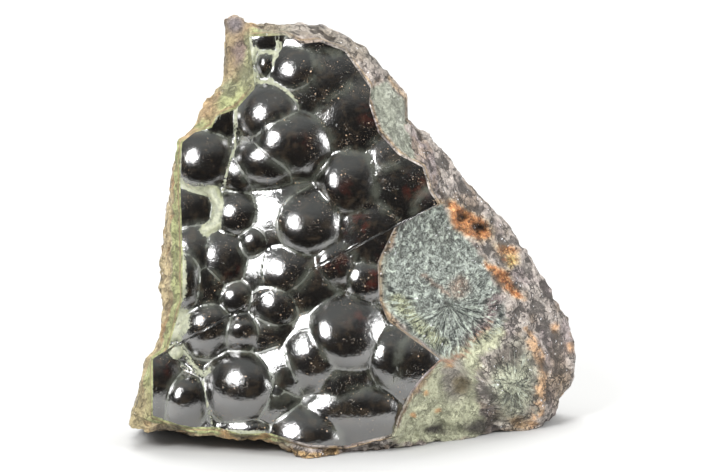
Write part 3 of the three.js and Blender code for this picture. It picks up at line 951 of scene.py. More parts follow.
    def far_points(self, angles: Array) -> tuple[Array, Array, Array]:
        """Rows from the outline over the flanks to the back, with their bands and lifts.

        Across the flanks a and b go by the square of the share and n goes evenly, so that the
        flanks start straight back. Then everything is drawn in to the broken back.

        Args:
            angles: the angles of every second column.

        Returns:
            The points row by row and at last the pole, the band each lies in and how far its
            grain lifts it. The band runs from 2 at the outline over 3 at the far edge to 4 at
            the pole.
        """
        outline = OUTLINE.crossing(self.heart, angles)
        far = FAR_EDGE.crossing(self.heart, angles)
        along = np.arange(1, self.flank_rows + 1) / self.flank_rows
        closing = np.arange(1, self.back_rows) / self.back_rows
        pole = np.array([self.back])
        flank = between(outline, far, np.stack([along**2, along**2, along], axis=1))
        rough = 0.15 + 0.85 * np.minimum(1.0, 3 * along)
        flank = self.chipped(flank, np.repeat(rough, len(angles)))
        points = self.backed(np.concatenate([flank, between(far, pole, closing), pole]))
        bands = np.append(np.repeat([*(2 + along), *(3 + closing)], len(angles)), 4.0)
        points, lift = self.grain(points, np.ones(len(points)))
        return points, bands, lift

    # ---- joining ----

    def build(self) -> bpy.types.Object:
        """Join the face, rim, flanks and back into one closed mesh with its attributes.

        Returns:
            The stone's object, still without its two materials.
        """
        n = self.cells
        angles = self.angles()
        face, gap, valley = self.face_points(angles)
        ring = angles[:-1]
        count = 4 * n
        border = self.border(n)
        rim, rim_band, rim_lift = self.rim_points(ring)
        lip = face[border] * self.lip[0] + rim[:count] * self.lip[1]
        far, far_band, far_lift = self.far_points(ring[::2])
        parts = [face, lip, rim, far]
        points = self.based(np.concatenate(parts))
        band = np.concatenate([np.full(len(face), -1.0), np.full(count, -0.5), rim_band, far_band])

        faces = [self.square_faces(n)]
        offset = len(face)
        rows = [border] + [
            offset + k * count + np.arange(count)
            for k in range(1 + self.fresh_rows + self.rim_rows + 1)
        ]
        faces += [self.strip(low, high) for low, high in zip(rows, rows[1:])]
        offset += count + len(rim)
        half = count // 2
        back_rows = [offset + k * half + np.arange(half)
                     for k in range(self.flank_rows + self.back_rows - 1)]
        quads = np.concatenate(faces + [self.strip(p, q) for p, q in zip(back_rows, back_rows[1:])])
        pole = len(points) - 1
        last = back_rows[-1]
        ends = np.stack([last, np.roll(last, -1), np.full(half, pole)], axis=1)
        triangles = np.concatenate([self.halving(rows[-1], back_rows[0]), ends])

        self.face = self.face.seated(points)
        mesh = bpy.data.meshes.new("stone")
        polygons = [*quads.tolist(), *triangles.tolist()]
        mesh.from_pydata(self.face.place(points).tolist(), [], polygons)
        mesh.update()
        stone = placed("hematite", mesh)
        mesh.polygons.foreach_set("use_smooth", np.ones(len(mesh.polygons), bool))
        # The outermost squares of the face are matrix, as is everything outside it.
        column, row = np.meshgrid(np.arange(n), np.arange(n))
        outermost = (column % (n - 1) == 0) | (row % (n - 1) == 0)
        slots = np.ones(len(mesh.polygons), np.int32)
        slots[: n * n] = outermost.ravel()
        mesh.polygons.foreach_set("material_index", slots)
        gap = np.concatenate([gap, np.full(len(points) - len(face), WIDEST_GAP)])
        valley = np.concatenate([valley, np.zeros(len(points) - len(face))])
        lift = np.concatenate([np.zeros(len(face) + count), rim_lift, far_lift])
        for name, values in Zones(points, band, gap, valley, lift).attributes().items():
            self.attribute(mesh, name, values)
        return stone

    @staticmethod
    def attribute(mesh: bpy.types.Mesh, name: str, values: Array) -> None:
        """Store one value or vector for each vertex.

        Args:
            mesh: the mesh that carries the attribute.
            name: what it is called.
            values: N numbers, or an (N, 3) array of vectors.
        """
        if values.ndim == 1:
            layer = mesh.attributes.new(name, "FLOAT", "POINT")
            layer.data.foreach_set("value", values.astype(np.float32))
        else:
            layer = mesh.attributes.new(name, "FLOAT_VECTOR", "POINT")
            layer.data.foreach_set("vector", values.astype(np.float32).ravel())

    @staticmethod
    def border(n: int) -> Array:
        """Vertex numbers round the edge of the square grid, from its lower left corner.

        Args:
            n: squares along one side of the grid.

        Returns:
            4 * n numbers, running anticlockwise as seen from the front.
        """
        row = n + 1
        bottom = np.arange(n)
        right = n + row * np.arange(n)
        top = n * row + n - np.arange(n)
        left = row * (n - np.arange(n))
        return np.concatenate([bottom, right, top, left])

    @staticmethod
    def square_faces(n: int) -> Array:
        """Four-sided faces of the square grid, turned to face outwards.

        Args:
            n: squares along one side of the grid.

        Returns:
            An (n * n, 4) array of vertex numbers.
        """
        j, i = np.meshgrid(np.arange(n), np.arange(n), indexing="ij")
        corner = (j * (n + 1) + i).ravel()
        return np.stack([corner, corner + 1, corner + n + 2, corner + n + 1], axis=1)

    @staticmethod
    def strip(low: Array, high: Array) -> Array:
        """Four-sided faces between two rows of equal length."""
        return np.stack([low, high, np.roll(high, -1), np.roll(low, -1)], axis=1)

    @staticmethod
    def halving(low: Array, high: Array) -> Array:
        """Triangles between a row and one with half as many columns.

        Args:
            low: vertex numbers of the full row.
            high: vertex numbers of the row with half as many.

        Returns:
            An array of three vertex numbers for each triangle.
        """
        even, odd, following = low[::2], low[1::2], np.roll(low[::2], -1)
        after = np.roll(high, -1)
        return np.concatenate([
            np.stack([even, high, odd], axis=1),
            np.stack([odd, high, after], axis=1),
            np.stack([odd, after, following], axis=1),
        ])


# ---- zones of colour -----------------------------------------------------------------------

FIBRES = (
    (6.4, 38.2), (9.2, 45.4), (13.4, 49.0), (17.4, 50.2), (19.4, 46.4), (24.6, 41.2),
    (29.8, 31.2), (30.4, 25.6), (26.0, 22.4), (20.2, 20.0), (18.0, 19.4), (9.4, 26.4), (6.0, 31.2),
)
UPPER_FIBRES = (
    (3.4, 73.2), (6.4, 74.6), (10.4, 71.0), (10.6, 66.2), (11.4, 61.6), (12.6, 59.4),
    (9.4, 60.8), (5.4, 65.4), (3.4, 70.8),
)
WEDGE = (
    (17.6, 19.6), (24.8, 24.2), (31.0, 27.0), (29.2, 23.0), (25.4, 19.0), (24.4, 12.0),
    (26.4, 5.6), (27.6, 3.0), (7.8, 2.0), (9.2, 7.2), (12.2, 12.2),
)
FIBRE_CENTRE = (19.0, 30.2)
NODULE = (32.2, 14.2)
NODULE_RADIUS = 5.2
NODULE_EDGE = 2.0
NODULE_SQUASH = 0.72      # the nodule is higher than wide by one over this
LEFT_SOFT = 4.0           # over how many mm the colours of the left side set in
LEFT_CRUST = -8.0         # where they set in on the crust, and on the matrix
LEFT_MATRIX = -12.0
FIRST_RUST = (
    (18.8, 51.4), (20.4, 50.6), (22.2, 49.2), (24.8, 48.0), (26.8, 46.8), (27.4, 44.8),
    (27.0, 43.2), (25.2, 43.2), (23.2, 44.0), (20.8, 45.6), (19.2, 48.0),
)
SECOND_RUST = (
    (28.4, 42.6), (30.2, 42.0), (32.4, 41.4), (33.0, 40.0), (33.2, 38.4), (31.6, 37.6),
    (30.2, 38.8), (29.2, 40.8),
)
THIRD_RUST = (
    (26.0, 38.6), (28.6, 38.0), (30.8, 36.8), (31.8, 34.2), (33.2, 32.4), (34.6, 31.2),
    (32.8, 31.4), (30.8, 33.0), (29.2, 34.8), (27.6, 36.8),
)
STEP = ((5.4, 38.8), (6.8, 41.6), (7.8, 38.8), (7.2, 34.2), (8.0, 31.2), (9.6, 27.6),
        (8.2, 28.2), (6.2, 31.2), (5.2, 35.2))
# painted shade: near-black laid into the two rust pits, which are already hollows in the surface
SHADED_HOLES = (Patch(21.6, 47.6, 0.9), Oval(25.2, 45.8, 1.9, 1.0))
GREY = matt(154, 145, 138)
LAYERS = (
    Layer(matt(128, 122, 112), (
        Seam(((-18.0, 86.0), (-6.0, 84.8), (2.0, 80.6), (7.6, 75.4)), 1.6, 0.7),)),
    Layer(matt(148, 126, 98), (Seam(((8.6, 48.4), (14.0, 50.6), (17.0, 50.4)), 0.9),
                               Seam(((7.2, 75.6), (10.4, 71.8), (10.8, 67.0)), 0.6, 0.7))),
    Layer(matt(134, 137, 124), (Area(UPPER_FIBRES),)),
    Layer(matt(162, 165, 152), (Oval(9.4, 66.4, 1.0, 3.2), Oval(7.2, 72.8, 1.0, 1.4, 0.7))),
    Layer(matt(150, 133, 104), (Oval(-24.0, 79.6, 2.4, 5.0), Oval(-22.6, 84.6, 2.0, 2.4))),
    Layer(matt(128, 112, 104), (Oval(-22.8, 80.6, 1.5, 3.2),), 0.8),
    Layer(matt(140, 140, 110), (Oval(-20.4, 75.8, 3.0, 3.6), Oval(-25.0, 73.6, 2.0, 2.0),
                                Seam(((-21.2, 84.0), (-20.6, 80.0), (-20.2, 76.0)), 0.8))),
    Layer(matt(170, 146, 112), (Oval(-29.4, 69.4, 2.4, 2.6), Oval(-33.4, 64.6, 2.0, 1.4))),
    Layer(matt(158, 146, 112), (Oval(-43.0, 9.6, 2.4, 5.0),)),
    Layer(matt(96, 84, 70), (Seam(((-39.6, 5.4), (-35.4, 5.6)), 0.9, 0.8),
                             Oval(-22.6, 3.8, 3.0, 1.0, 0.7))),
    Layer(matt(176, 146, 104), (Seam(((-26.0, 4.6), (-22.4, 2.4), (-17.6, 4.0)), 0.9),
                                Seam(((-13.0, 1.2), (-9.0, -0.4), (-4.0, 0.8)), 0.9))),
    Layer(matt(148, 155, 147), (Area(FIBRES),)),
    Layer(matt(126, 130, 122), (Oval(18.0, 44.6, 3.4, 2.6, 0.8),)),
    Layer(matt(150, 158, 148), (Area(STEP, 0.5, 0.8),)),
    Layer(matt(170, 174, 140), (Seam(((8.8, 31.0), (12.4, 27.0), (17.0, 22.8)), 1.5, 0.9),)),
    Layer(matt(150, 128, 112), (Seam(((14.0, 36.2), (19.0, 31.8)), 0.45, 0.8),
                                Oval(21.0, 33.6, 2.2, 2.4, 0.8))),
    Layer(matt(50, 48, 44), (Patch(19.0, 30.2, 0.55), Seam(((10.2, 48.2), (9.2, 39.4)), 0.25, 0.8),
                             Seam(((5.2, 38.0), (7.0, 33.0), (8.6, 28.4)), 0.25, 0.8))),
    Layer(matt(126, 112, 110), (
        Seam(((19.6, 18.8), (23.2, 22.2), (26.8, 26.8), (28.6, 31.2)), 1.5),)),
    Layer(matt(172, 173, 146), (Area(WEDGE, 0.9),), 0.9),
    Layer(matt(146, 138, 134), (Oval(20.2, 15.6, 2.8, 4.8, 0.8),), 0.9),
    Layer(matt(118, 108, 84), (Oval(21.6, 14.2, 1.6, 2.2),), 0.8),
    Layer(matt(70, 66, 60), (Oval(16.4, 5.2, 2.0, 1.0), Oval(24.6, 5.6, 3.2, 1.8)), 0.8),
    Layer(matt(186, 148, 106), (Oval(14.4, 12.6, 0.7, 0.5), Oval(17.0, 9.0, 0.8, 0.5),
                                Oval(12.0, 8.0, 0.5, 0.5), Oval(19.4, 18.0, 0.8, 0.5))),
    Layer(matt(150, 118, 96), (Seam(((9.8, 12.2), (13.2, 16.8), (16.6, 19.2), (19.6, 18.8),
                                     (22.4, 21.2), (25.2, 24.2), (27.6, 26.8)), 0.4),)),
    Layer(matt(166, 168, 146), (Oval(NODULE[0], NODULE[1], 5.0, 8.0),), 0.9),
    Layer(matt(84, 74, 70), (Oval(31.2, 19.6, 3.4, 2.2, 0.85),
                             Oval(36.4, 12.0, 0.8, 4.0, 0.6)), 1.0),
    Layer(matt(164, 134, 98), (Oval(33.4, 6.4, 2.6, 1.2, 0.8),), 0.8),
    Layer(matt(188, 150, 112), (Seam(((34.4, 25.2), (36.8, 21.2), (38.0, 16.2), (37.8, 11.2),
                                      (36.2, 6.2)), 0.8, 0.85),), 0.8),
    Layer(matt(148, 128, 104), (Oval(41.2, 15.6, 2.2, 7.0, 0.6), Oval(33.0, 3.8, 6.0, 1.4, 0.7))),
    Layer(matt(178, 140, 104), (Patch(43.8, 21.4, 0.9), Patch(40.6, 25.2, 0.7),
                                Patch(43.0, 12.2, 0.8))),
    Layer(matt(206, 186, 150), (Area(FIRST_RUST, 1.8), Area(SECOND_RUST, 1.4),
                                Area(THIRD_RUST, 1.4)), 0.3),
    Layer(matt(178, 122, 78), (Area(FIRST_RUST, 0.4), Area(THIRD_RUST, 0.4),
                               Oval(31.0, 40.9, 1.9, 0.9)), 0.35),
    Layer(matt(168, 152, 96), (Oval(31.6, 38.9, 1.3, 1.2),), 0.4),
    Layer(matt(124, 76, 40), (Oval(29.8, 36.2, 1.5, 0.7), Oval(31.4, 33.8, 0.7, 1.4),
                              Seam(((20.4, 46.0), (22.8, 44.9), (24.4, 44.2)), 0.35, 0.8))),
    Layer(matt(160, 140, 112), (Patch(-23.9, 86.2, 2.9),), 0.2),
    Layer(matt(120, 112, 112), (Patch(-23.9, 86.4, 2.0),), 0.2),
    # painted shade inside the rust pits
    Layer(matt(22, 18, 14), SHADED_HOLES, 0.2),
)
RUSTY = (Area(FIRST_RUST, 0.5), Area(SECOND_RUST, 0.5), Area(THIRD_RUST, 0.5))

DUSTY = (
    Patch(-21.4, 80.0, 2.2), Patch(-21.6, 75.6, 2.8), Patch(-28.0, 69.6, 1.8),
    Patch(-36.2, 38.0, 2.6), Patch(-36.4, 31.0, 2.6), Patch(-36.2, 25.0, 2.4),
    Patch(-35.6, 21.0, 1.8),
    Seam(((-37.2, 56.0), (-32.4, 53.8), (-28.2, 53.0), (-27.0, 50.4), (-27.6, 46.4),
          (-31.0, 44.2), (-37.0, 43.6)), 1.3, 1.25),
    Seam(((-36.4, 55.0), (-36.2, 44.0)), 0.9),
    Seam(((-35.0, 63.0), (-35.2, 56.0)), 0.6, 0.6),
    Seam(((-35.0, 42.0), (-34.8, 31.0), (-37.6, 21.0)), 0.7, 0.62),
    Seam(((-15.5, 84.8), (-15.0, 81.4), (-15.8, 79.0), (-15.7, 76.0), (-17.2, 74.8)), 0.6),
    Seam(((-20.4, 74.8), (-17.2, 74.8), (-15.3, 74.3), (-12.3, 72.0), (-9.2, 69.6)), 0.5),
    Seam(((-22.6, 73.4), (-23.6, 69.6), (-23.7, 66.0)), 0.45),
    Seam(((-23.7, 66.0), (-23.8, 61.7), (-25.0, 57.8), (-26.2, 53.2)), 0.35, 0.8),
    Seam(((-34.3, 18.0), (-30.4, 15.8), (-29.3, 10.3), (-28.2, 5.4)), 0.4, 0.5),
    Seam(((-35.6, 28.0), (-34.6, 22.4), (-32.6, 18.6), (-30.2, 16.2), (-27.4, 18.2)), 0.7, 0.62),
    Seam(((-20.8, 85.4), (-20.4, 83.4), (-19.8, 81.4), (-18.2, 80.6), (-15.4, 80.8)), 0.7, 0.9),
    Patch(-20.4, 80.6, 1.3),
)
SETTLED = (
    Oval(-34.8, 36.0, 1.5, 6.6), Oval(-34.6, 27.2, 2.0, 3.2),
    Seam(((-35.2, 63.0), (-35.4, 53.0)), 0.8), Seam(((-40.8, 18.0), (-40.8, 8.0)), 0.6),
    Oval(-21.6, 82.0, 1.4, 3.2), Oval(-28.6, 68.4, 2.0, 1.6),
    Seam(((-26.0, 4.8), (-18.0, 4.4)), 0.7, 0.8),
)
REDDISH = (
    Patch(0.6, 46.0, 2.6), Patch(12.4, 53.6, 3.0, 0.6), Patch(-2.4, 38.2, 2.2, 0.6),
    Patch(0.4, 27.4, 2.2, 0.6), Patch(3.8, 35.4, 2.4, 0.8), Patch(-6.4, 38.6, 2.2, 0.7),
    Patch(3.0, 68.4, 2.4, 0.5), Patch(6.8, 39.8, 2.4, 0.6), Patch(-10.2, 62.6, 2.2, 0.3),
    Patch(-2.0, 53.0, 2.4, 0.4), Patch(-23.6, 35.8, 2.4, 0.4), Patch(-38.4, 18.0, 2.6, 0.4),
)


@dataclass
class Zones:
    """What each vertex is covered with, worked out from where it lies."""

    points: Array
    band: Array
    gap: Array
    valley: Array
    lift: Array

    def leftward(self, start: float, most: float = 1.0) -> Array:
        """A mask that grows from 0 at a place to its most to the left of it."""
        return np.clip((start - self.points[:, 0]) / LEFT_SOFT, 0.0, most)

    def attributes(self) -> dict[str, Array]:
        """Work out every mask.

        Returns:
            The name and the values of each attribute.
        """
        a, b = self.points[:, 0], self.points[:, 1]
        front = self.band < FLANK_BAND
        fibre = polar(a - FIBRE_CENTRE[0], b - FIBRE_CENTRE[1])
        ball = polar(a - NODULE[0], (b - NODULE[1]) * NODULE_SQUASH)
        return {
            "gap": self.gap,
            "valley": self.valley,
            "band": self.band,
            "dusty": widest(DUSTY, a, b) * front,
            "settled": widest(SETTLED, a, b) * front,
            "reddish": widest(REDDISH, a, b) * front,
            "fibrous": Area(FIBRES).at(a, b) * front,
            "powdery": self.powdery() * front,
            "nodule": np.clip((NODULE_RADIUS - ball[:, 2]) / NODULE_EDGE, 0.0, 1.0) * front,
            "rusty": widest(RUSTY, a, b) * (1.0 - widest(SHADED_HOLES, a, b)) * front,
            "paint": self.paint(front),
            "lift": self.lift,
            "left": self.leftward(LEFT_CRUST) * front,
            "fibre": fibre,
            "ball": ball,
        }

    def powdery(self) -> Array:
        """Smooth powdery ground: the wedge, the upper fibres and the strip down the left.

        Returns:
            A mask from 0 to 1.
        """
        a, b = self.points[:, 0], self.points[:, 1]
        strip = self.leftward(LEFT_MATRIX, 0.9) * (self.band < 2.0)
        return np.maximum(widest((Area(WEDGE, 0.9), Area(UPPER_FIBRES)), a, b), strip)

    def paint(self, front: Array) -> Array:
        """Broad colours of the matrix, laid over one another layer by layer.

        Args:
            front: true where the layers show; the flanks and back keep the grey and the browns.

        Returns:
            An (N, 3) array of linear colours.
        """
        def spread(size: float, seed: float, low: float, high: float) -> Array:
            """A mask of random patches of one size, 0 below low and 1 above high."""
            return ease((rough_waves(self.points, size, 4, seed) - low) / (high - low))

        colour = np.tile(np.array(GREY), (len(self.points), 1))
        left = self.leftward(LEFT_MATRIX) * front
        outer = ease((self.band - 0.75) / 0.4)
        crust_rim = ease((0.09 - self.band) / 0.06)
        washes = (
            (matt(134, 122, 122), spread(7.0, 5.0, 0.0, 0.5) * 0.7),
            (matt(166, 158, 150), spread(3.4, 15.0, 0.1, 0.5) * 0.6),
            (matt(118, 100, 82), spread(3.0, 25.0, 0.15, 0.5) * 0.6),
            (matt(158, 161, 116), left * (1.0 - outer)),
            (matt(176, 160, 126), left * outer),
            (matt(150, 118, 82), left * outer * spread(3.4, 35.0, 0.0, 0.5) * 0.7),
            (matt(96, 84, 66), left * spread(1.8, 45.0, 0.36, 0.66) * 0.5),
            (matt(150, 128, 98), crust_rim * (self.band >= -0.6) * front * 0.8),
        )
        stacked = [*washes, *((layer.colour, layer.at(self.points) * front) for layer in LAYERS)]
        for tint, share in stacked:
            colour += (np.array(tint) - colour) * share[:, None]
        return colour


# ---- shader expressions --------------------------------------------------------------------


class Cells(Enum):
    """What random cells are measured by."""

    MIDDLES = "F1"
    EDGES = "DISTANCE_TO_EDGE"


@dataclass(frozen=True)
class Wire:
    """A number that changes over the surface, as a node's output that takes part in sums."""

    graph: "Graph"
    socket: bpy.types.NodeSocket

    def _with(self, operation: str, *values: object) -> "Wire":
        """Add one Math node."""
        numbered = dict(enumerate(values))
        return self.graph.node("ShaderNodeMath", {"operation": operation}, numbered)

    def __add__(self, other: object) -> "Wire":
        """Sum."""
        return self._with("ADD", self, other)

    __radd__ = __add__

    def __sub__(self, other: object) -> "Wire":
        """Difference."""
        return self._with("SUBTRACT", self, other)

    def __rsub__(self, other: object) -> "Wire":
        """Difference the other way round."""
        return self._with("SUBTRACT", other, self)

    def __mul__(self, other: object) -> "Wire":
        """Product."""
        return self._with("MULTIPLY", self, other)

    __rmul__ = __mul__

    def most(self, other: object) -> "Wire":
        """The larger of two."""
        return self._with("MAXIMUM", self, other)

    def rise(self, low: float, high: float) -> "Wire":
        """Run smoothly from 0 at low to 1 at high.

        Args:
            low, high: the values between which it runs.

        Returns:
            A number from 0 to 1.
        """
        return self.graph.node(
            "ShaderNodeMapRange", {"interpolation_type": "SMOOTHSTEP"},
            {"Value": self, "From Min": low, "From Max": high},
        )

    def fall(self, low: float, high: float) -> "Wire":
        """Run smoothly from 1 at low to 0 at high."""
        return 1.0 - self.rise(low, high)


class Graph:
    """The nodes of one material, written as expressions."""

    def __init__(self, owner: bpy.types.Material | bpy.types.World) -> None:
        """Start with no nodes.

        Args:
            owner: the material or world that the nodes belong to.
        """
        owner.use_nodes = True
        self.owner = owner
        self.tree = owner.node_tree
        self.tree.nodes.clear()

    @classmethod
    def of_material(cls, name: str) -> "Graph":
        """Start a material whose patterns sit on its object, in millimetres.

        Args:
            name: what the material is called.

        Returns:
            The graph, with the place on the object as its place.
        """
        graph = cls(bpy.data.materials.new(name))
        where = graph.node("ShaderNodeTexCoord", {}, {}, "Object")
        graph.place = graph.scaled(where, 1.0 / MM)
        return graph

    def node(self, kind: str, settings: dict, values: dict,
             out: int | str | None = 0) -> Wire | None:
        """Add one node.

        Args:
            kind: the node's type.
            settings: its own settings, set first.
            values: numbers, colours or wires for its inputs, by name or number.
            out: the output that is returned, or None for a node without one.

        Returns:
            The chosen output.
        """
        made = self.tree.nodes.new(kind)
        for key, value in settings.items():
            setattr(made, key, value)
        for key, value in values.items():
            if isinstance(value, Wire):
                self.tree.links.new(value.socket, made.inputs[key])
            elif isinstance(value, tuple) and made.inputs[key].type == "RGBA":
                made.inputs[key].default_value = (*value[:3], 1.0)
            else:
                made.inputs[key].default_value = value
        return None if out is None else Wire(self, made.outputs[out])

    def attribute(self, name: str) -> Wire:
        """Read a number stored on the vertices."""
        return self.node("ShaderNodeAttribute", {"attribute_name": name}, {}, "Fac")

    def vector(self, name: str) -> Wire:
        """Read a vector stored on the vertices."""
        return self.node("ShaderNodeAttribute", {"attribute_name": name}, {}, "Vector")

    def noise(self, scale: float, detail: float = 2.0, rough: float = 0.5, twist: float = 0.0,
              at: Wire | None = None, seed: float = 0.0) -> Wire:
        """Smooth random values about 0.5, with the scale given in waves for each millimetre.

        Args:
            scale: waves for each millimetre.
            detail: how many finer waves are added.
            rough: how strong the finer ones are.
            twist: how much the waves are bent.
            at: the place, or None for the place on the object.
            seed: shifts the pattern.

        Returns:
            A number from 0 to 1.
        """
        where = self.shifted(at or self.place, seed)
        values = {"Vector": where, "Scale": scale, "Detail": detail, "Roughness": rough,
                  "Distortion": twist}
        return self.node("ShaderNodeTexNoise", {}, values)

    def cells(self, scale: float, feature: Cells = Cells.MIDDLES, at: Wire | None = None,
              out: str = "Distance", seed: float = 0.0) -> Wire:
        """Distances or colours of random cells, with the scale in cells for each millimetre.

        Args:
            scale: cells for each millimetre.
            feature: what is measured.
            at: the place, or None for the place on the object.
            out: Distance, or Color for random numbers that each cell keeps.
            seed: shifts the pattern.

        Returns:
            The distance or the colour.
        """
        where = self.shifted(at or self.place, seed)
        return self.node("ShaderNodeTexVoronoi", {"feature": feature.value},
                         {"Vector": where, "Scale": scale}, out)

    def shifted(self, where: Wire, seed: float) -> Wire:
        """Move a place by a fixed step, so that two patterns differ.

        Args:
            where: the place.
            seed: how far it moves; 0 leaves it.

        Returns:
            The moved place.
        """
        if not seed:
            return where
        return self.moved(where, (seed * 1.7, seed * -2.3, seed * 3.1))

    def moved(self, where: Wire, step: Wire | tuple[float, float, float]) -> Wire:
        """Add two vectors."""
        return self.node("ShaderNodeVectorMath", {"operation": "ADD"}, {0: where, 1: step})

    def bent(self, scale: float, amount: float) -> Wire:
        """The place, pushed about by random waves of up to the given amount, in millimetres.

        Args:
            scale: waves for each millimetre.
            amount: the farthest push.

        Returns:
            The moved place.
        """
        noise = self.node("ShaderNodeTexNoise", {},
                          {"Vector": self.place, "Scale": scale, "Detail": 4.0}, "Color")
        step = self.scaled(self.moved(noise, (-0.5, -0.5, -0.5)), 2.0 * amount)
        return self.moved(self.place, step)

    def stretched(self, where: Wire, scale: tuple[float, ...]) -> Wire:
        """Stretch a vector along its axes."""
        return self.node("ShaderNodeVectorMath", {"operation": "MULTIPLY"}, {0: where, 1: scale})

    def scaled(self, vector: Wire, share: Wire | float) -> Wire:
        """Multiply a vector or a colour by a number."""
        values = {0: vector, "Scale": share}
        return self.node("ShaderNodeVectorMath", {"operation": "SCALE"}, values)

    def split(self, colour: Wire, part: int) -> Wire:
        """Take one part of a colour or vector as a number."""
        return self.node("ShaderNodeSeparateXYZ", {}, {0: colour}, part)

    def mix(self, share: object, low: object, high: object) -> Wire:
        """Blend two colours: share 0 gives the first and 1 the second."""
        return self.node("ShaderNodeMix", {"data_type": "RGBA"}, {0: share, 6: low, 7: high}, 2)

    def coated(self, colour: Wire, *coats: tuple[Wire, Colour | Wire]) -> Wire:
        """Lay colours over one another, each where its share says.

        Args:
            colour: the ground.
            coats: a share and a colour for each coat.

        Returns:
            The colour on top.
        """
        for share, tint in coats:
            colour = self.mix(share, colour, tint)
        return colour

    def bump(self, height: Wire, depth: float) -> Wire:
        """Tilt the surface by a height from 0 to 1 that stands for a depth in millimetres."""
        values = {"Height": height, "Distance": depth * MM, "Strength": 1.0}
        return self.node("ShaderNodeBump", {}, values)

    def surface(self, values: dict) -> bpy.types.Material:
        """Finish the material with one Principled surface of the given values.

        Args:
            values: numbers, colours or wires for the shader's inputs, by name.

        Returns:
            The finished material.
        """
        shader = self.node("ShaderNodeBsdfPrincipled", {}, values)
        self.node("ShaderNodeOutputMaterial", {}, {"Surface": shader}, None)
        return self.owner


# ---- finishes ------------------------------------------------------------------------------


@dataclass(frozen=True)
class CrustFinish:
    """Black mirror-like lumps, with dust in the creases and a few tan specks."""

    black: Colour = srgb(14, 12, 10)
    brown: Colour = srgb(48, 40, 30)
    red: Colour = srgb(72, 28, 18)
    dust: Colour = matt(98, 102, 76)
    pale_dust: Colour = matt(132, 134, 104)
    # painted reflection: this grey runs thinly along the creases, partly dust and partly a painted
    # sheen of their rounded sides
    crease: Colour = matt(96, 100, 88)
    speck: Colour = matt(180, 142, 100)
    ior: float = 2.9
    gloss: float = 0.04              # roughness of the clean gloss
    haze: float = 0.10               # what hazy places add to it
    dulling: float = 0.6             # what dust and specks add to it
    glow: float = 0.32               # roughness of the faint second gloss round each highlight
    glow_ior: float = 1.42
    speck_cells: float = 1.3         # cells for each millimetre, of which some hold a speck
    relief: float = 0.08             # depth of the bumps in millimetres

    def material(self) -> bpy.types.Material:
        """Build the material.

        Returns:
            The material.
        """
        g = Graph.of_material("lumpy crust")
        gap, valley = g.attribute("gap"), g.attribute("valley")
        dusty, left = g.attribute("dusty"), g.attribute("left")
        fine, broad = g.noise(2.2, 4.0, 0.65), g.noise(0.35, 3.0, 0.55, seed=3.0)

        mottle = g.noise(0.45, 7.0, 0.74, 0.6, seed=17.0)
        red = g.attribute("reddish") * g.noise(0.6, 5.0, 0.65, seed=9.0).rise(0.44, 0.64)

        # painted sheen: thin grey lines along the creases, partly dust, and a broad faint grey
        # beside them stand in for reflections in the rounded creases
        line = (gap + (fine - 0.5) * 0.5).fall(0.02, 0.40)
        painted_sheen = (gap + (fine - 0.5) * 1.4).fall(0.2, 1.7) * broad.rise(0.36, 0.60)
        line = (line * (0.30 + 0.40 * left) * broad.rise(0.28, 0.60)).most(painted_sheen * 0.26)

        reach = dusty * 0.55 + (fine - 0.5) * 1.5
        filled = (reach - gap).rise(-0.1, 0.22) * dusty.rise(0.25, 0.55)
        covered = (valley * dusty + (fine - 0.5) * 1.6).rise(0.40, 0.55)
        settled = g.attribute("settled") + (fine - 0.5) * 1.8 + (broad - 0.5) * 0.8
        dust = filled.most(covered).most(settled.rise(0.42, 0.56))
        tone = g.mix(g.noise(1.1, 4.0, 0.7, seed=5.0).rise(0.38, 0.62), self.dust, self.pale_dust)

        cluster = g.noise(0.20, 2.0, 0.5, seed=21.0).rise(0.50, 0.60)
        dots = g.cells(self.speck_cells, seed=4.0) + (fine - 0.5) * 0.7
        chosen = g.split(g.cells(self.speck_cells, out="Color", seed=4.0), 0).rise(0.70, 0.74)
        scratch = g.noise(1.2, 5.0, 0.75, 3.0, seed=30.0).rise(0.625, 0.650) * cluster
        specks = (dots.fall(0.09, 0.17) * chosen * cluster).most(scratch)

        ground = g.mix(mottle.rise(0.48, 0.66) * 0.9, self.black, self.brown)
        colour = g.coated(ground, (red * 0.7, self.red), (line, self.crease), (dust, tone),
                          (specks * 0.9, self.speck))

        haze = g.noise(0.22, 6.0, 0.66, 0.6, seed=12.0).rise(0.42, 0.66)
        dull = line.most(dust).most(specks)
        rough = self.gloss + haze * self.haze + dull * self.dulling
        ripple = g.noise(0.45, 2.0, 0.5, seed=40.0) * 1.5 + g.noise(1.3, 4.0, 0.66) * 0.7
        bumped = g.bump(ripple + dull * fine * 2.0, self.relief)
        return g.surface({
            "Base Color": colour, "Roughness": rough, "Normal": bumped, "IOR": self.ior,
            "Coat Weight": 1.0 - dull, "Coat Roughness": self.glow, "Coat IOR": self.glow_ior,
        })


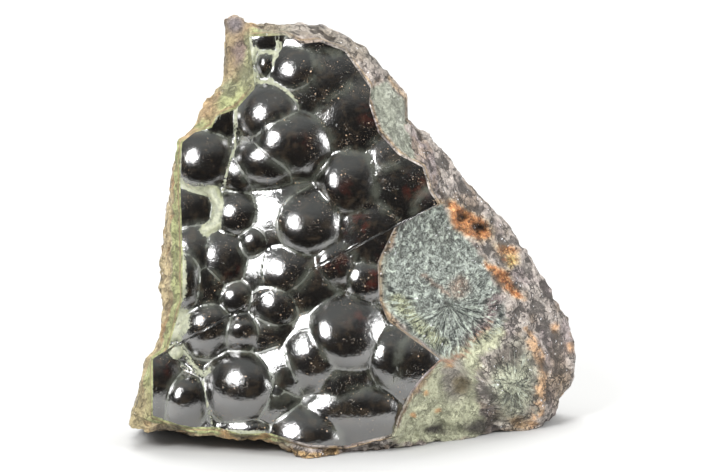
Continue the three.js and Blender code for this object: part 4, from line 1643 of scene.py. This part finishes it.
@dataclass(frozen=True)
class MatrixFinish:
    """Rough matrix: painted zones, broken into grains, fibres and crevices."""

    # painted shade: this near-black is laid into low grain, the gaps between grains and thin
    # cracks, where shade falls
    crevice_shade: Colour = matt(26, 22, 20)
    # painted highlight: a near-white base colour for the glinting grains
    glint: Colour = matt(236, 236, 240)
    fibre_dark: Colour = matt(34, 40, 38)
    fibre_pale: Colour = matt(196, 206, 192)
    rust_dark: Colour = matt(146, 84, 42)
    rust_pale: Colour = matt(232, 180, 120)
    ior: float = 1.45
    small_grains: float = 1.25       # cells for each millimetre of the grains, and of the glints
    large_grains: float = 0.5
    glint_cells: float = 1.7
    # how strongly the painted shade darkens the crevices
    crevice_shade_strength: float = 0.78           # of the crevices, and what powder and the flanks take off it
    powder_fill: float = 0.45
    flank_fill: float = 0.30
    roughness: float = 0.66
    relief: float = 0.9              # depth of the bumps in millimetres

    def material(self) -> bpy.types.Material:
        """Build the material.

        Returns:
            The material.
        """
        g = Graph.of_material("broken matrix")
        paint, lift = g.vector("paint"), g.attribute("lift")
        powdery, fibrous = g.attribute("powdery"), g.attribute("fibrous")
        nodule, rusty = g.attribute("nodule"), g.attribute("rusty")
        fine, grit = g.noise(0.9, 7.0, 0.72), g.noise(3.0, 4.0, 0.7, seed=2.0)
        bent = g.bent(0.8, 1.1)

        small = g.split(g.cells(self.small_grains, at=bent, out="Color", seed=8.0), 0)
        large = g.split(g.cells(self.large_grains, at=bent, out="Color", seed=9.0), 1)
        coarse = small * 0.55 + large * 0.35
        coarse = coarse * (1.0 - fibrous * 0.7) + fibrous * 0.32
        shade = 0.55 + coarse * (0.8 - powdery * 0.45) + powdery * 0.18
        shade = shade + (grit - 0.5) * 1.0 + (fine - 0.5) * (1.4 - powdery * 0.8)
        colour = g.scaled(paint, shade.most(0.10))

        gaps = g.cells(0.62, Cells.EDGES, bent, seed=3.0) + (grit - 0.5) * 0.16
        gaps = gaps.fall(0.02, 0.12) * g.noise(0.35, seed=6.0).rise(0.46, 0.56)
        hairs = self.hairs(g, 0.30, 33.0, 0.020).most(self.hairs(g, 0.55, 34.0, 0.036) * fibrous)
        # painted shade: low-lying grain, the gaps between grains and thin cracks are darkened with
        # the crevice colour
        low = (fine * 0.9 - lift * 0.9).rise(0.54, 0.74)
        dark = low.most(gaps * (1.0 - fibrous * 0.5)).most(hairs * (0.4 + 0.6 * fibrous))
        flank = g.attribute("band").rise(2.1, 2.6)
        depth = self.crevice_shade_strength - powdery * self.powder_fill - flank * self.flank_fill
        colour = g.mix(dark * depth, colour, self.crevice_shade)

        along = g.vector("fibre")
        wild = g.split(along, 1) * 0.5 + 0.5 + (g.noise(0.3, seed=46.0) - 0.5) * 1.4
        wild = wild.rise(0.42, 0.80)
        straight = g.noise(1.0, 5.0, 0.74, 0.5, at=g.stretched(along, (10, 10, 0.34)))
        plates = g.cells(0.34, Cells.EDGES, bent, seed=21.0) + (grit - 0.5) * 0.3
        tangled = 0.45 + plates.rise(-0.06, 0.10) * 0.07 + (fine - 0.5) * 0.5
        streaks = straight * (1.0 - wild) + tangled * wild
        rays = g.noise(1.0, 5.0, 0.75, 0.5, at=g.stretched(g.vector("ball"), (7, 7, 0.4)), seed=6.0)
        crumbs = g.noise(1.5, 5.0, 0.7, 0.8, seed=51.0)
        colour = g.coated(
            colour,
            (fibrous * streaks.fall(0.41, 0.47) * 0.92, self.fibre_dark),
            (fibrous * streaks.rise(0.52, 0.60) * 0.75, self.fibre_pale),
            (nodule * rays.fall(0.42, 0.50) * 0.6, self.fibre_dark),
            (nodule * rays.rise(0.54, 0.64) * 0.6, self.fibre_pale),
            (rusty * crumbs.fall(0.38, 0.50) * 0.7, self.rust_dark),
            (rusty * crumbs.rise(0.54, 0.66) * 0.7, self.rust_pale),
        )

        # painted highlight: a few grains get a near-white colour for their glints, as well as a
        # lower roughness
        chosen = g.split(g.cells(self.glint_cells, at=bent, out="Color", seed=8.5), 2)
        chosen = chosen.rise(0.86, 0.90)
        near = g.cells(self.glint_cells, at=bent, seed=8.5) + (grit - 0.5) * 0.5
        near = near.fall(0.20, 0.34)
        bright = near * chosen * g.noise(0.3, 2.0, seed=18.0).rise(0.44, 0.58)
        bright = bright * (1.0 - powdery * 0.8) * (1.0 - rusty)
        colour = g.mix(bright * 0.85, colour, self.glint)

        rough = self.roughness - small * 0.26 - bright * 0.30 + powdery * 0.2
        relief = small * 0.5 + large * 0.5 + fine * 1.1 - dark * 0.6
        relief = relief + streaks * fibrous * 0.8 + rays * nodule * 0.8
        bumped = g.bump(relief, self.relief)
        return g.surface({
            "Base Color": colour, "Roughness": rough, "Normal": bumped, "IOR": self.ior,
        })

    @staticmethod
    def hairs(g: Graph, scale: float, seed: float, width: float) -> Wire:
        """Thin winding lines, where a random wave passes through its middle."""
        wave = g.noise(scale, 6.0, 0.62, 0.8, seed=seed)
        return wave.rise(0.5 - width, 0.5) * wave.fall(0.5, 0.5 + width)


# ---- studio --------------------------------------------------------------------------------


class Role(Enum):
    """What a light is for: to be mirrored by gloss, or to light matt surfaces."""

    MIRRORED = "mirrored"
    LIGHTING = "lighting"


@dataclass(frozen=True)
class Softbox:
    """A round soft light: its place in metres, its width and height, its strength and its role."""

    name: str
    at: tuple[float, float, float]
    width: float
    height: float
    watts: float
    role: Role

    def build(self, target: tuple[float, float, float]) -> None:
        """Make the light and turn it to the target.

        Args:
            target: the place at which it shines, in metres.
        """
        data = bpy.data.lights.new(self.name, "AREA")
        data.shape, data.energy = "ELLIPSE", self.watts
        data.size, data.size_y = self.width, self.height
        light = placed(self.name, data)
        light.visible_glossy = self.role is Role.MIRRORED
        light.visible_diffuse = self.role is Role.LIGHTING
        light.location = self.at
        away = np.array(self.at) - np.array(target)
        light.rotation_euler = (
            math.atan2(float(np.hypot(away[0], away[1])), float(away[2])),
            0.0,
            math.atan2(float(away[1]), float(away[0])) + math.pi / 2,
        )


@dataclass(frozen=True)
class Studio:
    """A pale floor, soft lights, a white surround and the camera."""

    distance: float = 3.0            # of the camera from the face, and the width that it sees there
    field: float = 0.1416
    sensor: float = 36.0
    aim: Spot = (0.0, 44.0)          # the place of the face at which it looks
    clip: Spot = (0.1, 20.0)
    floor_front: float = 0.018       # how far in front of the stone the two plates meet
    floor_width: float = 8.0
    face: Face = Face()
    lights: tuple[Softbox, ...] = (
        Softbox("key", (-0.62, -0.80, 0.50), 0.56, 0.60, 13.0, Role.MIRRORED),
        Softbox("key_glow", (-0.66, -0.84, 0.53), 0.95, 1.00, 1.8, Role.MIRRORED),
        Softbox("side", (1.05, 0.05, 0.18), 0.42, 0.52, 6.0, Role.MIRRORED),
        Softbox("side_glow", (1.10, 0.05, 0.19), 0.85, 0.95, 1.4, Role.MIRRORED),
        Softbox("overhead", (-0.05, 0.55, 1.2), 1.0, 0.9, 20.0, Role.LIGHTING),
        Softbox("front", (-0.7, -1.2, 0.9), 0.6, 0.6, 34.0, Role.LIGHTING),
        Softbox("right", (1.2, -0.7, 0.6), 0.5, 0.5, 18.0, Role.LIGHTING),
    )
    target: tuple[float, float, float] = (0.0, 0.0, 0.035)
    dim: float = 0.008               # what gloss mirrors of the room, in front, overhead and behind
    ceiling: float = 0.32
    backdrop: float = 0.50
    surround: float = 1.2            # what lights matt surfaces
    white: float = 1.05              # what the camera sees behind the floor

    def floor(self) -> None:
        """Two level plates that meet in front of the stone. Gloss sees only the one under it."""
        half = self.floor_width / 2
        edge = float(cad_box[0][1]) - self.floor_front
        plates = []
        for name, low, high in (("floor", edge, half), ("floor_front", -half, edge)):
            mesh = bpy.data.meshes.new(name)
            corners = [(-half, low, 0.0), (half, low, 0.0), (half, high, 0.0), (-half, high, 0.0)]
            mesh.from_pydata(corners, [], [(0, 1, 2, 3)])
            plates.append(placed(name, mesh))
        plates[1].visible_glossy = False
        g = Graph.of_material("pale floor")
        tone = g.mix(g.noise(0.02, 1.0), srgb(170, 170, 169), srgb(173, 173, 172))
        paper = g.surface({"Base Color": tone, "Roughness": 0.9, "IOR": 1.2})
        for plate in plates:
            plate.data.materials.append(paper)

    def world(self) -> None:
        """White to the camera, bright to matt surfaces, and a dim room to glossy ones.

        The room that the gloss mirrors is dark at the front and grows brighter overhead and
        towards the backdrop, each by a smooth ramp along one axis.
        """
        world = bpy.data.worlds.new("studio")
        bpy.context.scene.world = world
        g = Graph(world)
        way = g.node("ShaderNodeTexCoord", {}, {}, "Generated")
        over = g.split(way, 2).rise(0.30, 0.95) * self.ceiling
        behind = g.split(way, 1).rise(-0.15, 0.35) * self.backdrop
        room = over.most(behind) + self.dim
        layers = []
        for colour, strength in ((srgb(255, 255, 255), self.surround), (srgb(243, 249, 246), room),
                                 (srgb(255, 255, 255), self.white)):
            layers.append(g.node("ShaderNodeBackground", {}, {0: colour, 1: strength}))
        shade = layers[0]
        for ray, layer in (("Is Glossy Ray", layers[1]), ("Is Camera Ray", layers[2])):
            share = g.node("ShaderNodeLightPath", {}, {}, ray)
            shade = g.node("ShaderNodeMixShader", {}, {0: share, 1: shade, 2: layer})
        g.node("ShaderNodeOutputWorld", {}, {0: shade}, None)

    def camera(self) -> None:
        """A long lens that looks square at the leaning face."""
        data = bpy.data.cameras.new("camera")
        data.sensor_width = self.sensor
        data.lens = self.sensor * self.distance / self.field
        data.clip_start, data.clip_end = self.clip
        camera = placed("camera", data)
        eye = np.array([*self.aim, self.distance / MM])
        camera.location = self.face.place(eye)
        camera.rotation_euler = (math.pi / 2 - self.face.lean, 0.0, 0.0)
        bpy.context.scene.camera = camera

    def build(self) -> None:
        """Set up everything round the stone."""
        self.camera()
        self.floor()
        self.world()
        for light in self.lights:
            light.build(self.target)
        view = bpy.context.scene.view_settings
        view.view_transform, view.look, view.exposure, view.gamma = "Standard", "None", 0.0, 1.0


def main() -> None:
    """Build the stone, dress it, set up the studio and log its vertices and triangles."""
    shape = Stone()
    stone = shape.build()
    Studio(face=shape.face).build()
    for finish in (CrustFinish(), MatrixFinish()):
        stone.data.materials.append(finish.material())
    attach(stone, BODY)
    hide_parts(NODE)
    triangles = sum(len(p.vertices) - 2 for p in stone.data.polygons)
    log.info("hematite: %d vertices, %d triangles", len(stone.data.vertices), triangles)


if __name__ == "__main__":
    main()
